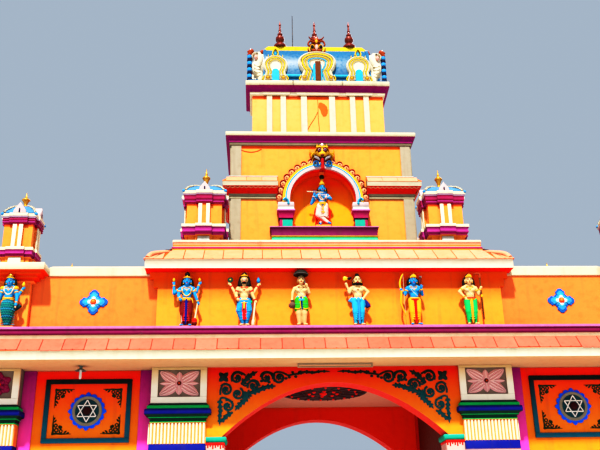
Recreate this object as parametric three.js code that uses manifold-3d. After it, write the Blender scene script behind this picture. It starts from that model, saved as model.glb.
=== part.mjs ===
// Painted masonry temple gateway with a stepped tower over its middle.
// Units are millimetres, +Z is up, the front faces -Y, and the origin is the middle of the footprint.
import * as THREE from 'three';
import { mergeVertices } from 'three/addons/utils/BufferGeometryUtils.js';
import Module from 'manifold-3d';

const wasm = await Module();
wasm.setup();

// Plan of the ground storey
const WALL_FACE = 2360;
const ARCH_WALL = 420;
const THIN_WALL = 230;
const ARCH_INNER = WALL_FACE - ARCH_WALL;
const ARCH_HALF = 1920;
const PIER_IN = 2180;
const PIER_OUT = 3120;
const BAY_FACE = 2160;
const BAY_BACK = BAY_FACE - THIN_WALL;
const STRIP_WIDTH = 220;
const STRIP_FACE = BAY_FACE + 30;
const END_IN = 5330;
const END_OUT = 6000;
const END_SIZE = END_OUT - END_IN;
const END_BACK = WALL_FACE - END_SIZE;
const PASSAGE_HALF = 2250;

// Heights of the ground storey
const IMPOST_LOW = 3310;
const SPRING = 3400;
const CROWN = 4300;
const SOFFIT = 4570;
const SLAB_TOP = 4730;
const SLAB_OUT = 680;

// Ledge over the main cornice, parapet and figure storey
const TILE_OUT = 30;
const TILE_IN = 460;
const TILE_TOP = 5000;
const BAND_LOW = 5010;
const LEDGE_TOP = 5175;
const STOREY_HALF = 3100;
const WING_FACE = 2250;
const WING_BACK = 2050;
const COPING_LOW = 6255;
const COPING_TOP = 6450;
const COPING_OUT = 30;
const CAP_LOW = 6260;
const CAP_TOP = 6410;
const CAP_OUT = 270;
const CORBEL_DROP = 150;
const CORBEL_ROOM = 205;
const SMALL_TURRET_X = 5692;
const UPPER_LOW = 6300;
const UPPER_TOP = 6480;
const UPPER_OUT = 220;

// Platform and tower
const PLATFORM = { halfX: 2880, halfY: 2160, top: 7000, wall: 230, roof: 150 };
const TOWER = { shift: 27, halfX: 1905, halfY: 865, top: 9640 };
const MID_CORNICE = { low: 8400, cove: 8500, fascia: 8635, tiles: 8735, top: 8920 };
const TOWER_CAP_TOP = 9920;
const TOP_STOREY = { halfX: 1472, halfY: 440, top: 11180 };
const TOP_CAP = { halfX: 1624, halfY: 600, top: 11440 };
const ROOF = { halfX: 1230, halfY: 500, spring: 11690, crown: 12570, shell: 120, ridge: 12700 };
const FIGURES = { pitch: 1010, shift: -40, y: 2500, endX: 5640, endY: 2540, nicheY: 825 };
const NICHE = { half: 680, low: 7680, spring: 8353, depth: 75 };

// Finishes
const paint = (color, roughness = 0.7) => new THREE.MeshStandardMaterial({ color, roughness });
const ORANGE = paint(0xf29a30);
const YELLOW_ORANGE = paint(0xf5c860);
const CREAM = paint(0xf0e2c4);
const MAGENTA = paint(0xa81e5a);
const RED = paint(0xcc2010);
const BROWN_RED = paint(0x8a2c1c);
const RED_TILE = paint(0xe08a70, 0.85);
const PEACH_TILE = paint(0xf0c090, 0.85);
const BLUE = paint(0x3078a4);
const GOLD = paint(0xe0a830, 0.5);
const COPPER = new THREE.MeshStandardMaterial({ color: 0x8a2c14, roughness: 0.4, metalness: 0.6 });
const STEEL = new THREE.MeshStandardMaterial({ color: 0x505050, roughness: 0.5, metalness: 0.7 });
const WHITE = paint(0xe8e8e0, 0.4);
const SKIN_BLUE = paint(0x2c6cb4);
const SKIN_CREAM = paint(0xe8d4a8);

const group = new THREE.Group();

// The tower stands a little off the middle of the gateway
const upperPart = new THREE.Group();
upperPart.position.x = TOWER.shift;
group.add(upperPart);

// Turns shapes drawn in the XY plane to stand in the XZ plane, with no rounding
const STAND = new THREE.Matrix4().set(1, 0, 0, 0, 0, 0, -1, 0, 0, 1, 0, 0, 0, 0, 0, 1);

function solid(geometry) {
  const bare = geometry.index ? geometry.clone() : geometry;
  bare.deleteAttribute('normal');
  bare.deleteAttribute('uv');
  const merged = mergeVertices(bare);
  const vertProperties = new Float32Array(merged.attributes.position.array);
  const triVerts = new Uint32Array(merged.index.array);
  return new wasm.Manifold(new wasm.Mesh({ numProp: 3, vertProperties, triVerts }));
}

function addMesh(name, shape, material, parent = group) {
  const mesh = shape.getMesh();
  const geometry = new THREE.BufferGeometry();
  geometry.setAttribute('position', new THREE.BufferAttribute(new Float32Array(mesh.vertProperties), 3));
  geometry.setIndex(new THREE.BufferAttribute(new Uint32Array(mesh.triVerts), 1));
  const part = new THREE.Mesh(geometry, material);
  part.name = name;
  parent.add(part);
}

const joined = (shapes) => shapes.reduce((sum, shape) => sum.add(shape));

// A block between two corners, given in any order
function block(xa, xb, ya, yb, za, zb) {
  const geometry = new THREE.BoxGeometry(Math.abs(xb - xa), Math.abs(yb - ya), Math.abs(zb - za));
  geometry.translate((xa + xb) / 2, (ya + yb) / 2, (za + zb) / 2);
  return solid(geometry);
}

// A block round a centre, given by its half widths
const centred = (cx, cy, hx, hy, za, zb) => block(cx - hx, cx + hx, cy - hy, cy + hy, za, zb);

// A block whose top has other half widths than its bottom
function taper(cx, cy, low, high, za, zb) {
  const geometry = new THREE.BoxGeometry(2, 2, 2);
  const place = geometry.attributes.position;
  for (let i = 0; i < place.count; i += 1) {
    const half = place.getZ(i) > 0 ? high : low;
    const z = place.getZ(i) > 0 ? zb : za;
    place.setXYZ(i, cx + place.getX(i) * half[0], cy + place.getY(i) * half[1], z);
  }
  return solid(geometry);
}

// A flat shape drawn in X and Z, made solid between two Y values
function standing(shape, ya, yb, curveSegments = 12) {
  const depth = Math.abs(yb - ya);
  const geometry = new THREE.ExtrudeGeometry(shape, { depth, bevelEnabled: false, curveSegments });
  geometry.applyMatrix4(STAND);
  geometry.translate(0, Math.max(ya, yb), 0);
  return solid(geometry);
}

// A turned piece: [radius, height] points from the axis and back to it
function turned(points, cx, cy, cz, segments = 12) {
  const outline = points.map(([radius, height]) => new THREE.Vector2(radius, height));
  const geometry = new THREE.LatheGeometry(outline, segments);
  geometry.applyMatrix4(STAND);
  geometry.translate(cx, cy, cz);
  return solid(geometry);
}

// A round limb between two points
function limb(from, to, lowRadius, highRadius, sides = 6) {
  const a = new THREE.Vector3(...from);
  const b = new THREE.Vector3(...to);
  const geometry = new THREE.CylinderGeometry(highRadius, lowRadius, a.distanceTo(b), sides);
  const direction = b.clone().sub(a).normalize();
  geometry.applyQuaternion(new THREE.Quaternion().setFromUnitVectors(new THREE.Vector3(0, 1, 0), direction));
  geometry.translate((a.x + b.x) / 2, (a.y + b.y) / 2, (a.z + b.z) / 2);
  return solid(geometry);
}

function ball(radius, cx, cy, cz) {
  const geometry = new THREE.SphereGeometry(radius, 8, 5);
  geometry.translate(cx, cy, cz);
  return solid(geometry);
}

// Arch: the opening is a parabola between the two springings
function archOpening() {
  const shape = new THREE.Shape();
  const steps = 24;
  shape.moveTo(-ARCH_HALF, SPRING - 1000);
  for (let i = 0; i <= steps; i += 1) {
    const x = ARCH_HALF * (2 * i / steps - 1);
    shape.lineTo(x, CROWN - (CROWN - SPRING) * (x / ARCH_HALF) ** 2);
  }
  shape.lineTo(ARCH_HALF, SPRING - 1000);
  return standing(shape, -4000, 4000);
}

function archWall(facing) {
  const wall = block(-PIER_IN, PIER_IN, facing * WALL_FACE, facing * ARCH_INNER, SPRING, SOFFIT);
  return wall.subtract(archOpening());
}

// Mouldings under a pier's capital and at its foot: how far proud, from where to where
const PIER_COURSES = [
  [70, 3144, 3656],
  [30, 3656, 3680],
  [55, 3680, 3784],
  [145, 3784, 3880],
  [115, 3880, 3936],
  [85, 3936, 3976],
  [55, 3976, SOFFIT],
  [60, 460, 3144],
  [120, 300, 460],
  [160, 0, 300],
];

// The pier's faces that show are its front and the sides that stand clear of the walls
function pierCourses(side, facing, inner, outer, outerBack) {
  return PIER_COURSES.map(([proud, low, high]) => {
    const front = facing * (WALL_FACE + proud);
    const spread = Math.max(proud - 70, 0);
    const far = side * (outer + spread);
    const face = block(side * (inner - spread), far, front, facing * WALL_FACE, low, high);
    const flank = block(side * (inner + outer) / 2, far, front, facing * outerBack, low, high);
    return face.add(flank);
  });
}

function innerPier(side, facing) {
  const front = facing * WALL_FACE;
  const back = facing * ARCH_INNER;
  const core = block(side * PIER_IN, side * PIER_OUT, front, back, 0, SOFFIT);
  const jamb = block(side * ARCH_HALF, side * PIER_IN, front, back, 0, IMPOST_LOW);
  const impost = block(side * (ARCH_HALF - 80), side * PIER_IN, front + facing * 40, back - facing * 40,
    IMPOST_LOW, SPRING);
  return joined([core, jamb, impost, ...pierCourses(side, facing, PIER_IN, PIER_OUT, STRIP_FACE)]);
}

function bayWall(side, facing) {
  const wall = block(side * PIER_OUT, side * END_IN, facing * BAY_FACE, facing * BAY_BACK, 0, SOFFIT);
  const strips = [[PIER_OUT, PIER_OUT + STRIP_WIDTH], [END_IN - STRIP_WIDTH, END_IN]].map(([xa, xb]) => (
    block(side * xa, side * xb, facing * STRIP_FACE, facing * BAY_FACE, 0, SOFFIT)));
  return joined([wall, ...strips]);
}

function outerPier(side, facing) {
  const core = block(side * END_IN, side * END_OUT, facing * WALL_FACE, facing * END_BACK, 0, SOFFIT);
  const wide = PIER_COURSES.map(([proud, low, high]) => {
    const spread = Math.max(proud - 70, 0);
    const front = facing * (WALL_FACE + proud);
    const outside = side * (END_OUT + proud);
    const corner = block(side * END_IN, outside, front, facing * END_BACK, low, high);
    const inside = block(side * (END_IN - spread), side * END_IN, front, facing * STRIP_FACE, low, high);
    return spread > 0 ? corner.add(inside) : corner;
  });
  return joined([core, ...wide]);
}

// A ring of blocks: the outer half widths less the inner ones
const ring = (outer, inner, za, zb) => (
  centred(0, 0, outer[0], outer[1], za, zb).subtract(centred(0, 0, inner[0], inner[1], za - 10, zb + 10)));

function tileRing(outer, inner, za, zb) {
  return taper(0, 0, outer, inner, za, zb).subtract(centred(0, 0, inner[0], inner[1], za - 10, zb + 10));
}

function groundStorey() {
  addMesh('front_arch_wall', archWall(-1), ORANGE);
  addMesh('rear_arch_wall', archWall(1), ORANGE);
  for (const [label, side] of [['left', -1], ['right', 1]]) {
    addMesh(`front_${label}_inner_pier`, innerPier(side, -1), CREAM);
    addMesh(`front_${label}_bay_wall`, bayWall(side, -1), ORANGE);
    addMesh(`front_${label}_outer_pier`, outerPier(side, -1), CREAM);
    const endWall = block(side * (END_OUT - THIN_WALL), side * END_OUT, -END_BACK, END_BACK, 0, SOFFIT);
    addMesh(`rear_and_${label}_end_wall`,
      joined([innerPier(side, 1), bayWall(side, 1), outerPier(side, 1), endWall]), ORANGE);
    const far = side * (PASSAGE_HALF + THIN_WALL);
    addMesh(`${label}_passage_wall`,
      block(side * PASSAGE_HALF, far, -ARCH_INNER, ARCH_INNER, 0, SOFFIT), BROWN_RED);
  }
}

function mainCornice() {
  const outX = END_OUT + SLAB_OUT;
  const outY = WALL_FACE + SLAB_OUT;
  addMesh('main_cornice_slab', centred(0, 0, outX, outY, SOFFIT, SLAB_TOP), CREAM);
  const inX = END_OUT + TILE_IN;
  const inY = WALL_FACE + TILE_IN;
  addMesh('lower_tile_roof',
    tileRing([outX + TILE_OUT, outY + TILE_OUT], [inX, inY], SLAB_TOP, TILE_TOP), RED_TILE);
  const hole = [END_IN - 30, END_BACK - 40];
  addMesh('ledge_course', joined([
    ring([inX, inY], hole, SLAB_TOP, LEDGE_TOP),
    ring([inX + 20, inY + 20], hole, BAND_LOW, BAND_LOW + 55),
    ring([inX + 50, inY + 50], hole, BAND_LOW + 55, LEDGE_TOP),
  ]), MAGENTA);
  const rose = [[0, -60], [60, -50], [90, -30], [820, -25], [864, 0], [0, 0]];
  addMesh('passage_medallion', turned(rose, 0, 100, SOFFIT, 32), RED);
}

function endBay(side, facing) {
  const cx = side * (END_IN + END_OUT) / 2;
  const cy = facing * (WALL_FACE + END_BACK) / 2;
  const half = END_SIZE / 2;
  const corbels = [[60, CAP_LOW - CORBEL_DROP], [130, CAP_LOW - 100], [200, CAP_LOW - 50]];
  return joined([
    centred(cx, cy, half, half, LEDGE_TOP, CAP_LOW),
    ...corbels.map(([out, low]) => centred(cx, cy, half + out, half + out, low, CAP_LOW)),
    centred(cx, cy, half + CAP_OUT, half + CAP_OUT, CAP_LOW, CAP_TOP),
  ]);
}

// Low wall with a coping, running along X
function wingWall(side, facing) {
  const low = CAP_LOW - CORBEL_DROP;
  const start = side * STOREY_HALF;
  const near = END_IN - CORBEL_ROOM;
  const wall = block(start, side * END_IN, facing * WING_FACE, facing * WING_BACK, LEDGE_TOP, low);
  const neck = block(start, side * near, facing * WING_FACE, facing * WING_BACK, low, COPING_LOW);
  const front = facing * (WING_FACE + COPING_OUT);
  const back = facing * (WING_BACK - COPING_OUT);
  const slabEdge = side * (STOREY_HALF + UPPER_OUT);
  const coping = block(slabEdge, side * (END_IN - CAP_OUT), front, back, COPING_LOW, COPING_TOP);
  const tuck = block(start, slabEdge, front, back, COPING_LOW, UPPER_LOW);
  return joined([wall, neck, coping, tuck]);
}

// A turret's levels: [half width low, half width high, from, to], with a bay in the middle of each face
function turret(cx, cy, levels, bayHalf, bayOut, finial) {
  const shapes = levels.flatMap(([low, high, za, zb], level) => {
    const core = taper(cx, cy, [low, low], [high, high], za, zb);
    if (level > 5) return [core];
    return [
      core,
      taper(cx, cy, [low + bayOut, bayHalf], [high + bayOut, bayHalf], za, zb),
      taper(cx, cy, [bayHalf, low + bayOut], [bayHalf, high + bayOut], za, zb),
    ];
  });
  return joined([...shapes, finial]);
}

// A pot finial: the profile is scaled to its height
function potFinial(cx, cy, base, height, segments) {
  const outline = [[0, -0.02], [0.2, -0.02], [0.1, 0.12], [0.28, 0.24], [0.26, 0.38], [0.07, 0.5], [0.1, 0.6],
    [0, 1]];
  return turned(outline.map(([r, z]) => [r * height, z * height]), cx, cy, base, segments);
}

const BIG_TURRET_LEVELS = [
  [300, 300, 7000, 7210],
  [370, 400, 7210, 7372],
  [420, 420, 7372, 7432],
  [336, 336, 7432, 7880],
  [350, 395, 7880, 8056],
  [412, 412, 8056, 8136],
  [370, 300, 8136, 8240],
  [300, 110, 8240, 8350],
];

const SMALL_TURRET_LEVELS = [
  [237, 237, CAP_TOP, 6610],
  [273, 300, 6610, 6736],
  [314, 314, 6736, 6796],
  [258, 258, 6796, 7256],
  [268, 300, 7256, 7384],
  [314, 314, 7384, 7456],
  [285, 230, 7456, 7560],
  [230, 85, 7560, 7690],
];

const bigTurret = (side, facing) => {
  const cx = side * 2350;
  const cy = facing * 1480;
  return turret(cx, cy, BIG_TURRET_LEVELS, 155, 45, potFinial(cx, cy, 8350, 434, 8));
};

const smallTurret = (side, facing) => {
  const cx = side * SMALL_TURRET_X;
  const cy = facing * (WALL_FACE + END_BACK) / 2;
  return turret(cx, cy, SMALL_TURRET_LEVELS, 165, 35, potFinial(cx, cy, 7690, 310, 8));
};

function parapets() {
  for (const [label, side] of [['left', -1], ['right', 1]]) {
    addMesh(`front_${label}_wing_wall`, wingWall(side, -1), ORANGE);
    addMesh(`front_${label}_end_bay`, endBay(side, -1), ORANGE);
    addMesh(`front_${label}_small_turret`, smallTurret(side, -1), ORANGE);
    const sideWall = block(side * (END_OUT - THIN_WALL), side * END_OUT, -END_BACK, END_BACK,
      LEDGE_TOP, CAP_LOW - CORBEL_DROP);
    const neck = block(side * (END_OUT - THIN_WALL), side * END_OUT, -END_BACK + CORBEL_ROOM,
      END_BACK - CORBEL_ROOM, CAP_LOW - CORBEL_DROP, COPING_LOW);
    const coping = block(side * (END_OUT - THIN_WALL - COPING_OUT), side * (END_OUT + COPING_OUT),
      -(END_BACK - CAP_OUT), END_BACK - CAP_OUT, COPING_LOW, COPING_TOP);
    addMesh(`${label}_rear_parapet`,
      joined([sideWall, neck, coping, endBay(side, 1), smallTurret(side, 1), wingWall(side, 1)]), ORANGE);
  }
}

function figureStorey() {
  const inX = STOREY_HALF - THIN_WALL;
  const inY = WALL_FACE - THIN_WALL;
  const reach = END_BACK - 40;
  const foot = (side) => block(side * inX, side * STOREY_HALF, -reach, reach, SLAB_TOP, LEDGE_TOP + 1);
  const corbels = [[75, 6024], [150, 6183]].flatMap(([out, low]) => (
    [-1, 1].flatMap((side) => [-1, 1].flatMap((facing) => {
      const near = side * STOREY_HALF;
      const far = side * (STOREY_HALF + out);
      const front = facing * WALL_FACE;
      return [
        block(near, far, front, facing * WING_FACE, low, COPING_LOW),
        block(near, far, front, facing * (WING_FACE + COPING_OUT), COPING_LOW, UPPER_LOW),
      ];
    }))));
  addMesh('figure_storey_walls', joined([
    ring([STOREY_HALF, WALL_FACE], [inX, inY], LEDGE_TOP, UPPER_LOW),
    foot(-1),
    foot(1),
    ...corbels,
  ]), ORANGE);
  const outX = STOREY_HALF + UPPER_OUT;
  const outY = WALL_FACE + UPPER_OUT;
  addMesh('upper_cornice_slab', centred(0, 0, outX, outY, UPPER_LOW, UPPER_TOP), CREAM);
  addMesh('upper_tile_roof', tileRing([outX + TILE_OUT, outY + TILE_OUT],
    [PLATFORM.halfX + 20, PLATFORM.halfY + 20], UPPER_TOP, UPPER_TOP + 320), PEACH_TILE);
  const { halfX, halfY, top, wall, roof } = PLATFORM;
  const hollow = centred(0, 0, halfX - wall, halfY - wall, UPPER_TOP - 10, top - roof);
  addMesh('tower_platform', joined([
    centred(0, 0, halfX, halfY, UPPER_TOP, top),
    centred(0, 0, halfX + 20, halfY + 20, UPPER_TOP, UPPER_TOP + 321),
  ]).subtract(hollow), CREAM);
}

function nicheShape(half, low, spring) {
  const shape = new THREE.Shape();
  shape.moveTo(-half, low);
  shape.lineTo(half, low);
  shape.lineTo(half, spring);
  shape.absarc(0, spring, half, 0, Math.PI, false);
  return shape;
}

function tower() {
  const { halfX, halfY, top } = TOWER;
  const floor = PLATFORM.top;
  const inX = halfX - THIN_WALL;
  const inY = halfY - THIN_WALL;
  const opening = standing(nicheShape(NICHE.half, NICHE.low, NICHE.spring), -4000, 0);
  const pilaster = 208;
  const pilasters = [-1, 1].map((side) => (
    block(side * (halfX - pilaster), side * halfX, -halfY - 25, -halfY, floor, top)));
  const front = joined([block(-halfX, halfX, -halfY, -inY, floor, top), ...pilasters]).subtract(opening);
  const room = block(-inX, inX, -inY - 10, inY, floor - 10, top + 10);
  addMesh('tower_side_and_rear_walls', block(-halfX, halfX, -inY, halfY, floor, top).subtract(room), ORANGE,
    upperPart);

  const shell = 90;
  const alcoveOut = standing(nicheShape(NICHE.half + shell, NICHE.low - shell, NICHE.spring),
    -inY - 10, -inY + NICHE.depth);
  const alcoveIn = standing(nicheShape(NICHE.half, NICHE.low, NICHE.spring),
    -inY - 20, -inY + NICHE.depth - shell);
  addMesh('tower_front_wall', front.add(alcoveOut).subtract(alcoveIn), ORANGE, upperPart);

  // The ledge stands on a plinth with a sloping top; both are cut flush with the wall behind
  const behind = block(-halfX, halfX, -halfY, 0, floor, NICHE.low);
  const plinth = joined([
    block(-1170, 1170, -halfY, -halfY - 330, floor, 7350),
    taper(0, -halfY, [1170, 330], [1050, 250], 7350, 7460),
  ]).subtract(behind);
  const ledge = joined([
    plinth,
    block(-1060, 1060, -halfY, -halfY - 260, 7460, 7480),
    block(-1090, 1090, -halfY, -halfY - 295, 7480, NICHE.low),
    ...[-1, 1].flatMap((side) => [
      block(side * 570, side * 930, -halfY, -halfY - 190, NICHE.low, 7970),
      taper(side * 750, -halfY - 105, [150, 105], [180, 105], 7970, 8136),
      block(side * 560, side * 940, -halfY, -halfY - 215, 8136, 8296),
    ]),
  ]);
  addMesh('niche_ledge', ledge, MAGENTA, upperPart);

  const arch = standing(nicheShape(860, 8296, NICHE.spring), -halfY - 170, -halfY);
  const mask = joined([
    limb([0, -halfY - 10, 9400], [0, -halfY - 200, 9400], 190, 150, 14),
    taper(0, -halfY - 100, [130, 80], [60, 50], 9500, 9635),
  ]);
  const curls = standing(nicheShape(940, 8296, NICHE.spring), -halfY - 110, -halfY);
  addMesh('niche_arch', joined([arch, curls, mask]).subtract(opening), YELLOW_ORANGE, upperPart);

  const inner = [halfX, halfY];
  const mid = [
    ring([halfX + 45, halfY + 45], inner, MID_CORNICE.low, MID_CORNICE.cove),
    ring([halfX + 90, halfY + 90], inner, MID_CORNICE.cove, MID_CORNICE.fascia),
    ring([halfX + 175, halfY + 175], inner, MID_CORNICE.fascia, MID_CORNICE.tiles),
    taper(0, 0, [halfX + 190, halfY + 190], [halfX + 40, halfY + 40], MID_CORNICE.tiles, MID_CORNICE.top)
      .subtract(centred(0, 0, halfX, halfY, MID_CORNICE.tiles - 10, MID_CORNICE.top + 10)),
  ];
  const gap = block(-965, 965, -halfY + 100, -halfY - 500, MID_CORNICE.low - 10, MID_CORNICE.top + 10);
  const pilasterGaps = [-1, 1].map((side) => (
    block(side * (halfX - pilaster), side * halfX, -halfY - 25, -halfY, MID_CORNICE.low, MID_CORNICE.top)));
  addMesh('tower_middle_cornice',
    [gap, ...pilasterGaps].reduce((shape, cutter) => shape.subtract(cutter), joined(mid)), CREAM, upperPart);

  addMesh('tower_upper_cornice', joined([
    centred(0, 0, halfX + 45, halfY + 45, top, 9690),
    taper(0, 0, [halfX + 60, halfY + 60], [halfX + 100, halfY + 100], 9690, 9820),
    centred(0, 0, halfX + 125, halfY + 135, 9820, TOWER_CAP_TOP),
  ]), CREAM, upperPart);
}

function topStorey() {
  const { halfX, halfY, top } = TOP_STOREY;
  const inX = halfX - 200;
  const inY = halfY - 200;
  const spans = [[250, 385], [720, 840], [1030, 1150]];
  const pilasters = [-1, 1].flatMap((side) => spans.flatMap(([xa, xb]) => [-1, 1].map((facing) => (
    block(side * xa, side * xb, facing * (halfY - 10), facing * (halfY + 30), TOWER_CAP_TOP, top)))));
  const walls = joined([centred(0, 0, halfX, halfY, TOWER_CAP_TOP, top), ...pilasters]);
  addMesh('top_storey_walls',
    walls.subtract(centred(0, 0, inX, inY, TOWER_CAP_TOP - 10, top + 10)), YELLOW_ORANGE, upperPart);
  addMesh('top_cornice', joined([
    taper(0, 0, [halfX + 50, halfY + 50], [halfX + 110, halfY + 110], top, 11310),
    centred(0, 0, TOP_CAP.halfX, TOP_CAP.halfY, 11310, TOP_CAP.top),
  ]), CREAM, upperPart);
}

// Outline of the wagon roof's end: a tall vault over a straight foot
function vaultShape(half, low, crown) {
  const shape = new THREE.Shape();
  shape.moveTo(-half, low);
  shape.lineTo(half, low);
  shape.lineTo(half, ROOF.spring);
  shape.absellipse(0, ROOF.spring, half, crown - ROOF.spring, 0, Math.PI, false);
  return shape;
}

// A horseshoe gable drawn in X and Z: a round head on a narrower foot
function horseshoe(cx, radius, low, centre) {
  const shape = new THREE.Shape();
  const foot = radius * 0.8;
  const start = -Math.acos(foot / radius);
  shape.moveTo(cx - foot, low);
  shape.lineTo(cx + foot, low);
  shape.lineTo(cx + foot, centre - radius * Math.sin(-start));
  shape.absarc(cx, centre, radius, start, Math.PI - start, false);
  return shape;
}

function barrelRoof() {
  const low = TOP_CAP.top;
  const along = (shape, xa, xb) => {
    const depth = xb - xa;
    const geometry = new THREE.ExtrudeGeometry(shape, { depth, bevelEnabled: false, curveSegments: 12 });
    geometry.applyMatrix4(new THREE.Matrix4().set(0, 0, 1, xa, 1, 0, 0, 0, 0, 1, 0, 0, 0, 0, 0, 1));
    return solid(geometry);
  };
  const outer = along(vaultShape(ROOF.halfY, low, ROOF.crown), -ROOF.halfX, ROOF.halfX);
  const inner = along(vaultShape(ROOF.halfY - ROOF.shell, low - 10, ROOF.crown - ROOF.shell),
    -ROOF.halfX + ROOF.shell, ROOF.halfX - ROOF.shell);
  const sideKudus = [-1, 1].flatMap((side) => [-1, 1].map((facing) => (
    standing(horseshoe(side * 920, 272, low, low + 500), facing * 350, facing * 590))));
  const rearKudu = standing(horseshoe(0, 430, low, low + 420), 300, 595);
  const ridge = block(-ROOF.halfX, ROOF.halfX, -90, 90, ROOF.crown - 30, ROOF.ridge);
  const closed = joined([outer, ridge, ...sideKudus, rearKudu]);
  addMesh('barrel_roof', closed.subtract(inner), BLUE, upperPart);

  const clear = along(vaultShape(ROOF.halfY + 1, low - 10, ROOF.crown + 1), -ROOF.halfX, ROOF.halfX);
  const kudu = joined([
    standing(horseshoe(0, 430, low, low + 420), -300, -598),
    taper(0, -530, [150, 68], [90, 60], 12240, 12640),
  ]).subtract(clear);
  addMesh('front_kudu', kudu, GOLD, upperPart);

  for (const [label, side] of [['left', -1], ['right', 1]]) {
    const face = side * ROOF.halfX;
    const plate = along(horseshoe(0, 480, low, low + 560), Math.min(face, face + side * 170),
      Math.max(face, face + side * 170));
    const scrolls = [-1, 1].map((facing) => (
      block(face, face + side * 370, facing * 340, facing * 520, low, low + 560)));
    addMesh(`${label}_roof_gable`, joined([plate, ...scrolls]), CREAM, upperPart);
  }

  const finial = [[0, 0], [125, 0], [145, 40], [85, 90], [40, 160], [92, 230], [88, 300], [40, 350],
    [62, 400], [30, 440], [22, 600], [0, 770]];
  for (const [label, x] of [['left', -825], ['middle', 0], ['right', 825]]) {
    addMesh(`${label}_finial`, turned(finial, x, 0, ROOF.ridge, 10), COPPER, upperPart);
  }
  addMesh('lightning_rod', limb([-500, 0, ROOF.ridge + 0.3], [-500, 0, 13620], 12, 8, 8), STEEL);
}

// A standing stucco figure on its own base. Places are millimetres from the middle of its feet: x to the
// right, y towards the wall, z up. An arm is [elbow, hand], and a held thing is [start, end, radius, radius].
function figure(name, [cx, cy, floor], material, pose) {
  const { arms, held, top, hair = 62, tail = false, lift = 0 } = pose;
  const at = ([x, y, z]) => [cx + x, cy + y, floor + lift + z];
  const bone = (a, b, low, high, sides) => limb(at(a), at(b), low, high, sides);
  const shapes = [
    centred(cx, cy, 165, 105, floor, floor + lift + 80),
    bone([0, 0, 470], [0, 0, 610], 118, 98),
    bone([0, 0, 560], [0, 0, 800], 82, 118),
    bone([0, 0, 760], [0, 0, 860], 42, 42),
    ball(76, ...at([0, -5, 915])),
    bone([0, 10, 930], [0, 10, top], hair, hair * 0.45),
  ];
  if (tail) {
    shapes.push(bone([0, 0, 500], [25, 0, 60], 118, 100));
    shapes.push(bone([80, 0, 400], [225, 0, 480], 48, 22));
  } else {
    for (const side of [-1, 1]) {
      shapes.push(bone([side * 56, 0, 510], [side * 50, 0, 70], 74, 40));
      shapes.push(bone([side * 48, 10, 98], [side * 54, -85, 94], 30, 24, 5));
    }
  }
  for (const [elbow, hand] of arms) {
    const shoulder = [Math.sign(elbow[0]) * 100, 5, 770];
    shapes.push(bone(shoulder, elbow, 42, 35, 5));
    shapes.push(bone(elbow, hand, 37, 30, 5));
  }
  for (const [a, b, low, high] of held) {
    shapes.push(bone(a, b, low, high, 5));
  }
  addMesh(name, joined(shapes), material);
}

function figures() {
  const poses = {
    mace_bearer_figure: [SKIN_BLUE, {
      top: 1050,
      arms: [[[-228, 20, 690], [-236, 40, 875]], [[165, 20, 715], [208, 40, 875]],
        [[150, -15, 640], [208, -25, 500]], [[-150, -10, 640], [-110, -60, 560]]],
      held: [[[200, -25, 520], [152, -35, 150], 18, 26], [[152, -35, 190], [150, -35, 80], 30, 48]],
    }],
    lion_faced_figure: [SKIN_CREAM, {
      top: 1050,
      hair: 84,
      arms: [[[-145, 20, 665], [-243, 40, 885]], [[160, 20, 690], [242, 40, 865]],
        [[150, -10, 640], [196, -20, 525]], [[-145, -10, 640], [-112, -55, 555]]],
      held: [[[-243, 25, 905], [-243, 55, 905], 46, 46], [[242, 40, 845], [242, 40, 945], 36, 12],
        [[196, -22, 540], [150, -35, 80], 18, 24]],
    }],
    umbrella_bearer_figure: [SKIN_CREAM, {
      top: 1030,
      arms: [[[-150, 0, 690], [-163, -10, 560]], [[140, 0, 688], [98, -40, 812]]],
      held: [[[98, -45, 770], [20, -10, 1060], 13, 13], [[0, -5, 1012], [0, -5, 1110], 132, 45],
        [[-163, -10, 420], [-163, -10, 575], 50, 30]],
    }],
    axe_bearer_figure: [SKIN_CREAM, {
      top: 1050,
      arms: [[[-152, 0, 685], [-200, -20, 835]], [[186, 0, 700], [95, -25, 570]]],
      held: [[[-196, -20, 740], [-200, -20, 975], 13, 13], [[-240, -20, 960], [-92, -20, 955], 26, 40]],
    }],
    bow_bearer_figure: [SKIN_BLUE, {
      top: 1050,
      arms: [[[-160, 0, 650], [-222, -25, 720]], [[150, 0, 650], [128, -70, 760]]],
      held: [[[-195, -25, 330], [-235, -25, 700], 12, 20], [[-235, -25, 700], [-195, -25, 1030], 20, 12]],
    }],
    plough_bearer_figure: [SKIN_CREAM, {
      top: 1050,
      arms: [[[158, 0, 650], [196, -25, 760]], [[-186, 0, 700], [-95, -25, 570]]],
      held: [[[205, -28, 180], [200, -28, 980], 16, 20], [[212, -28, 975], [95, -28, 1040], 34, 14]],
    }],
  };
  Object.entries(poses).forEach(([name, [material, pose]], place) => {
    const x = (place - 2.5) * FIGURES.pitch + FIGURES.shift;
    figure(name, [x, -FIGURES.y, LEDGE_TOP], material, pose);
  });
  for (const [label, side] of [['left', -1], ['right', 1]]) {
    figure(`${label}_end_figure`, [side * FIGURES.endX, -FIGURES.endY, LEDGE_TOP], SKIN_BLUE, {
      top: 1015,
      tail: true,
      arms: [-1, 1].flatMap((hand) => [
        [[hand * 136, 10, 590], [hand * 223, 20, 775]],
        [[hand * 150, -10, 600], [hand * 150, -35, 465]]]),
      held: [-1, 1].map((hand) => [[hand * 226, 20, 750], [hand * 238, 20, 890], 34, 14]),
    });
  }
  figure('niche_figure', [0, -FIGURES.nicheY, NICHE.low], SKIN_BLUE, {
    top: 1235,
    hair: 74,
    lift: 55,
    arms: [[[-232, -20, 570], [-176, -70, 805]], [[176, -20, 695], [52, -80, 680]]],
    held: [[[-318, -72, 815], [160, -60, 780], 14, 14]],
  });
}

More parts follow.
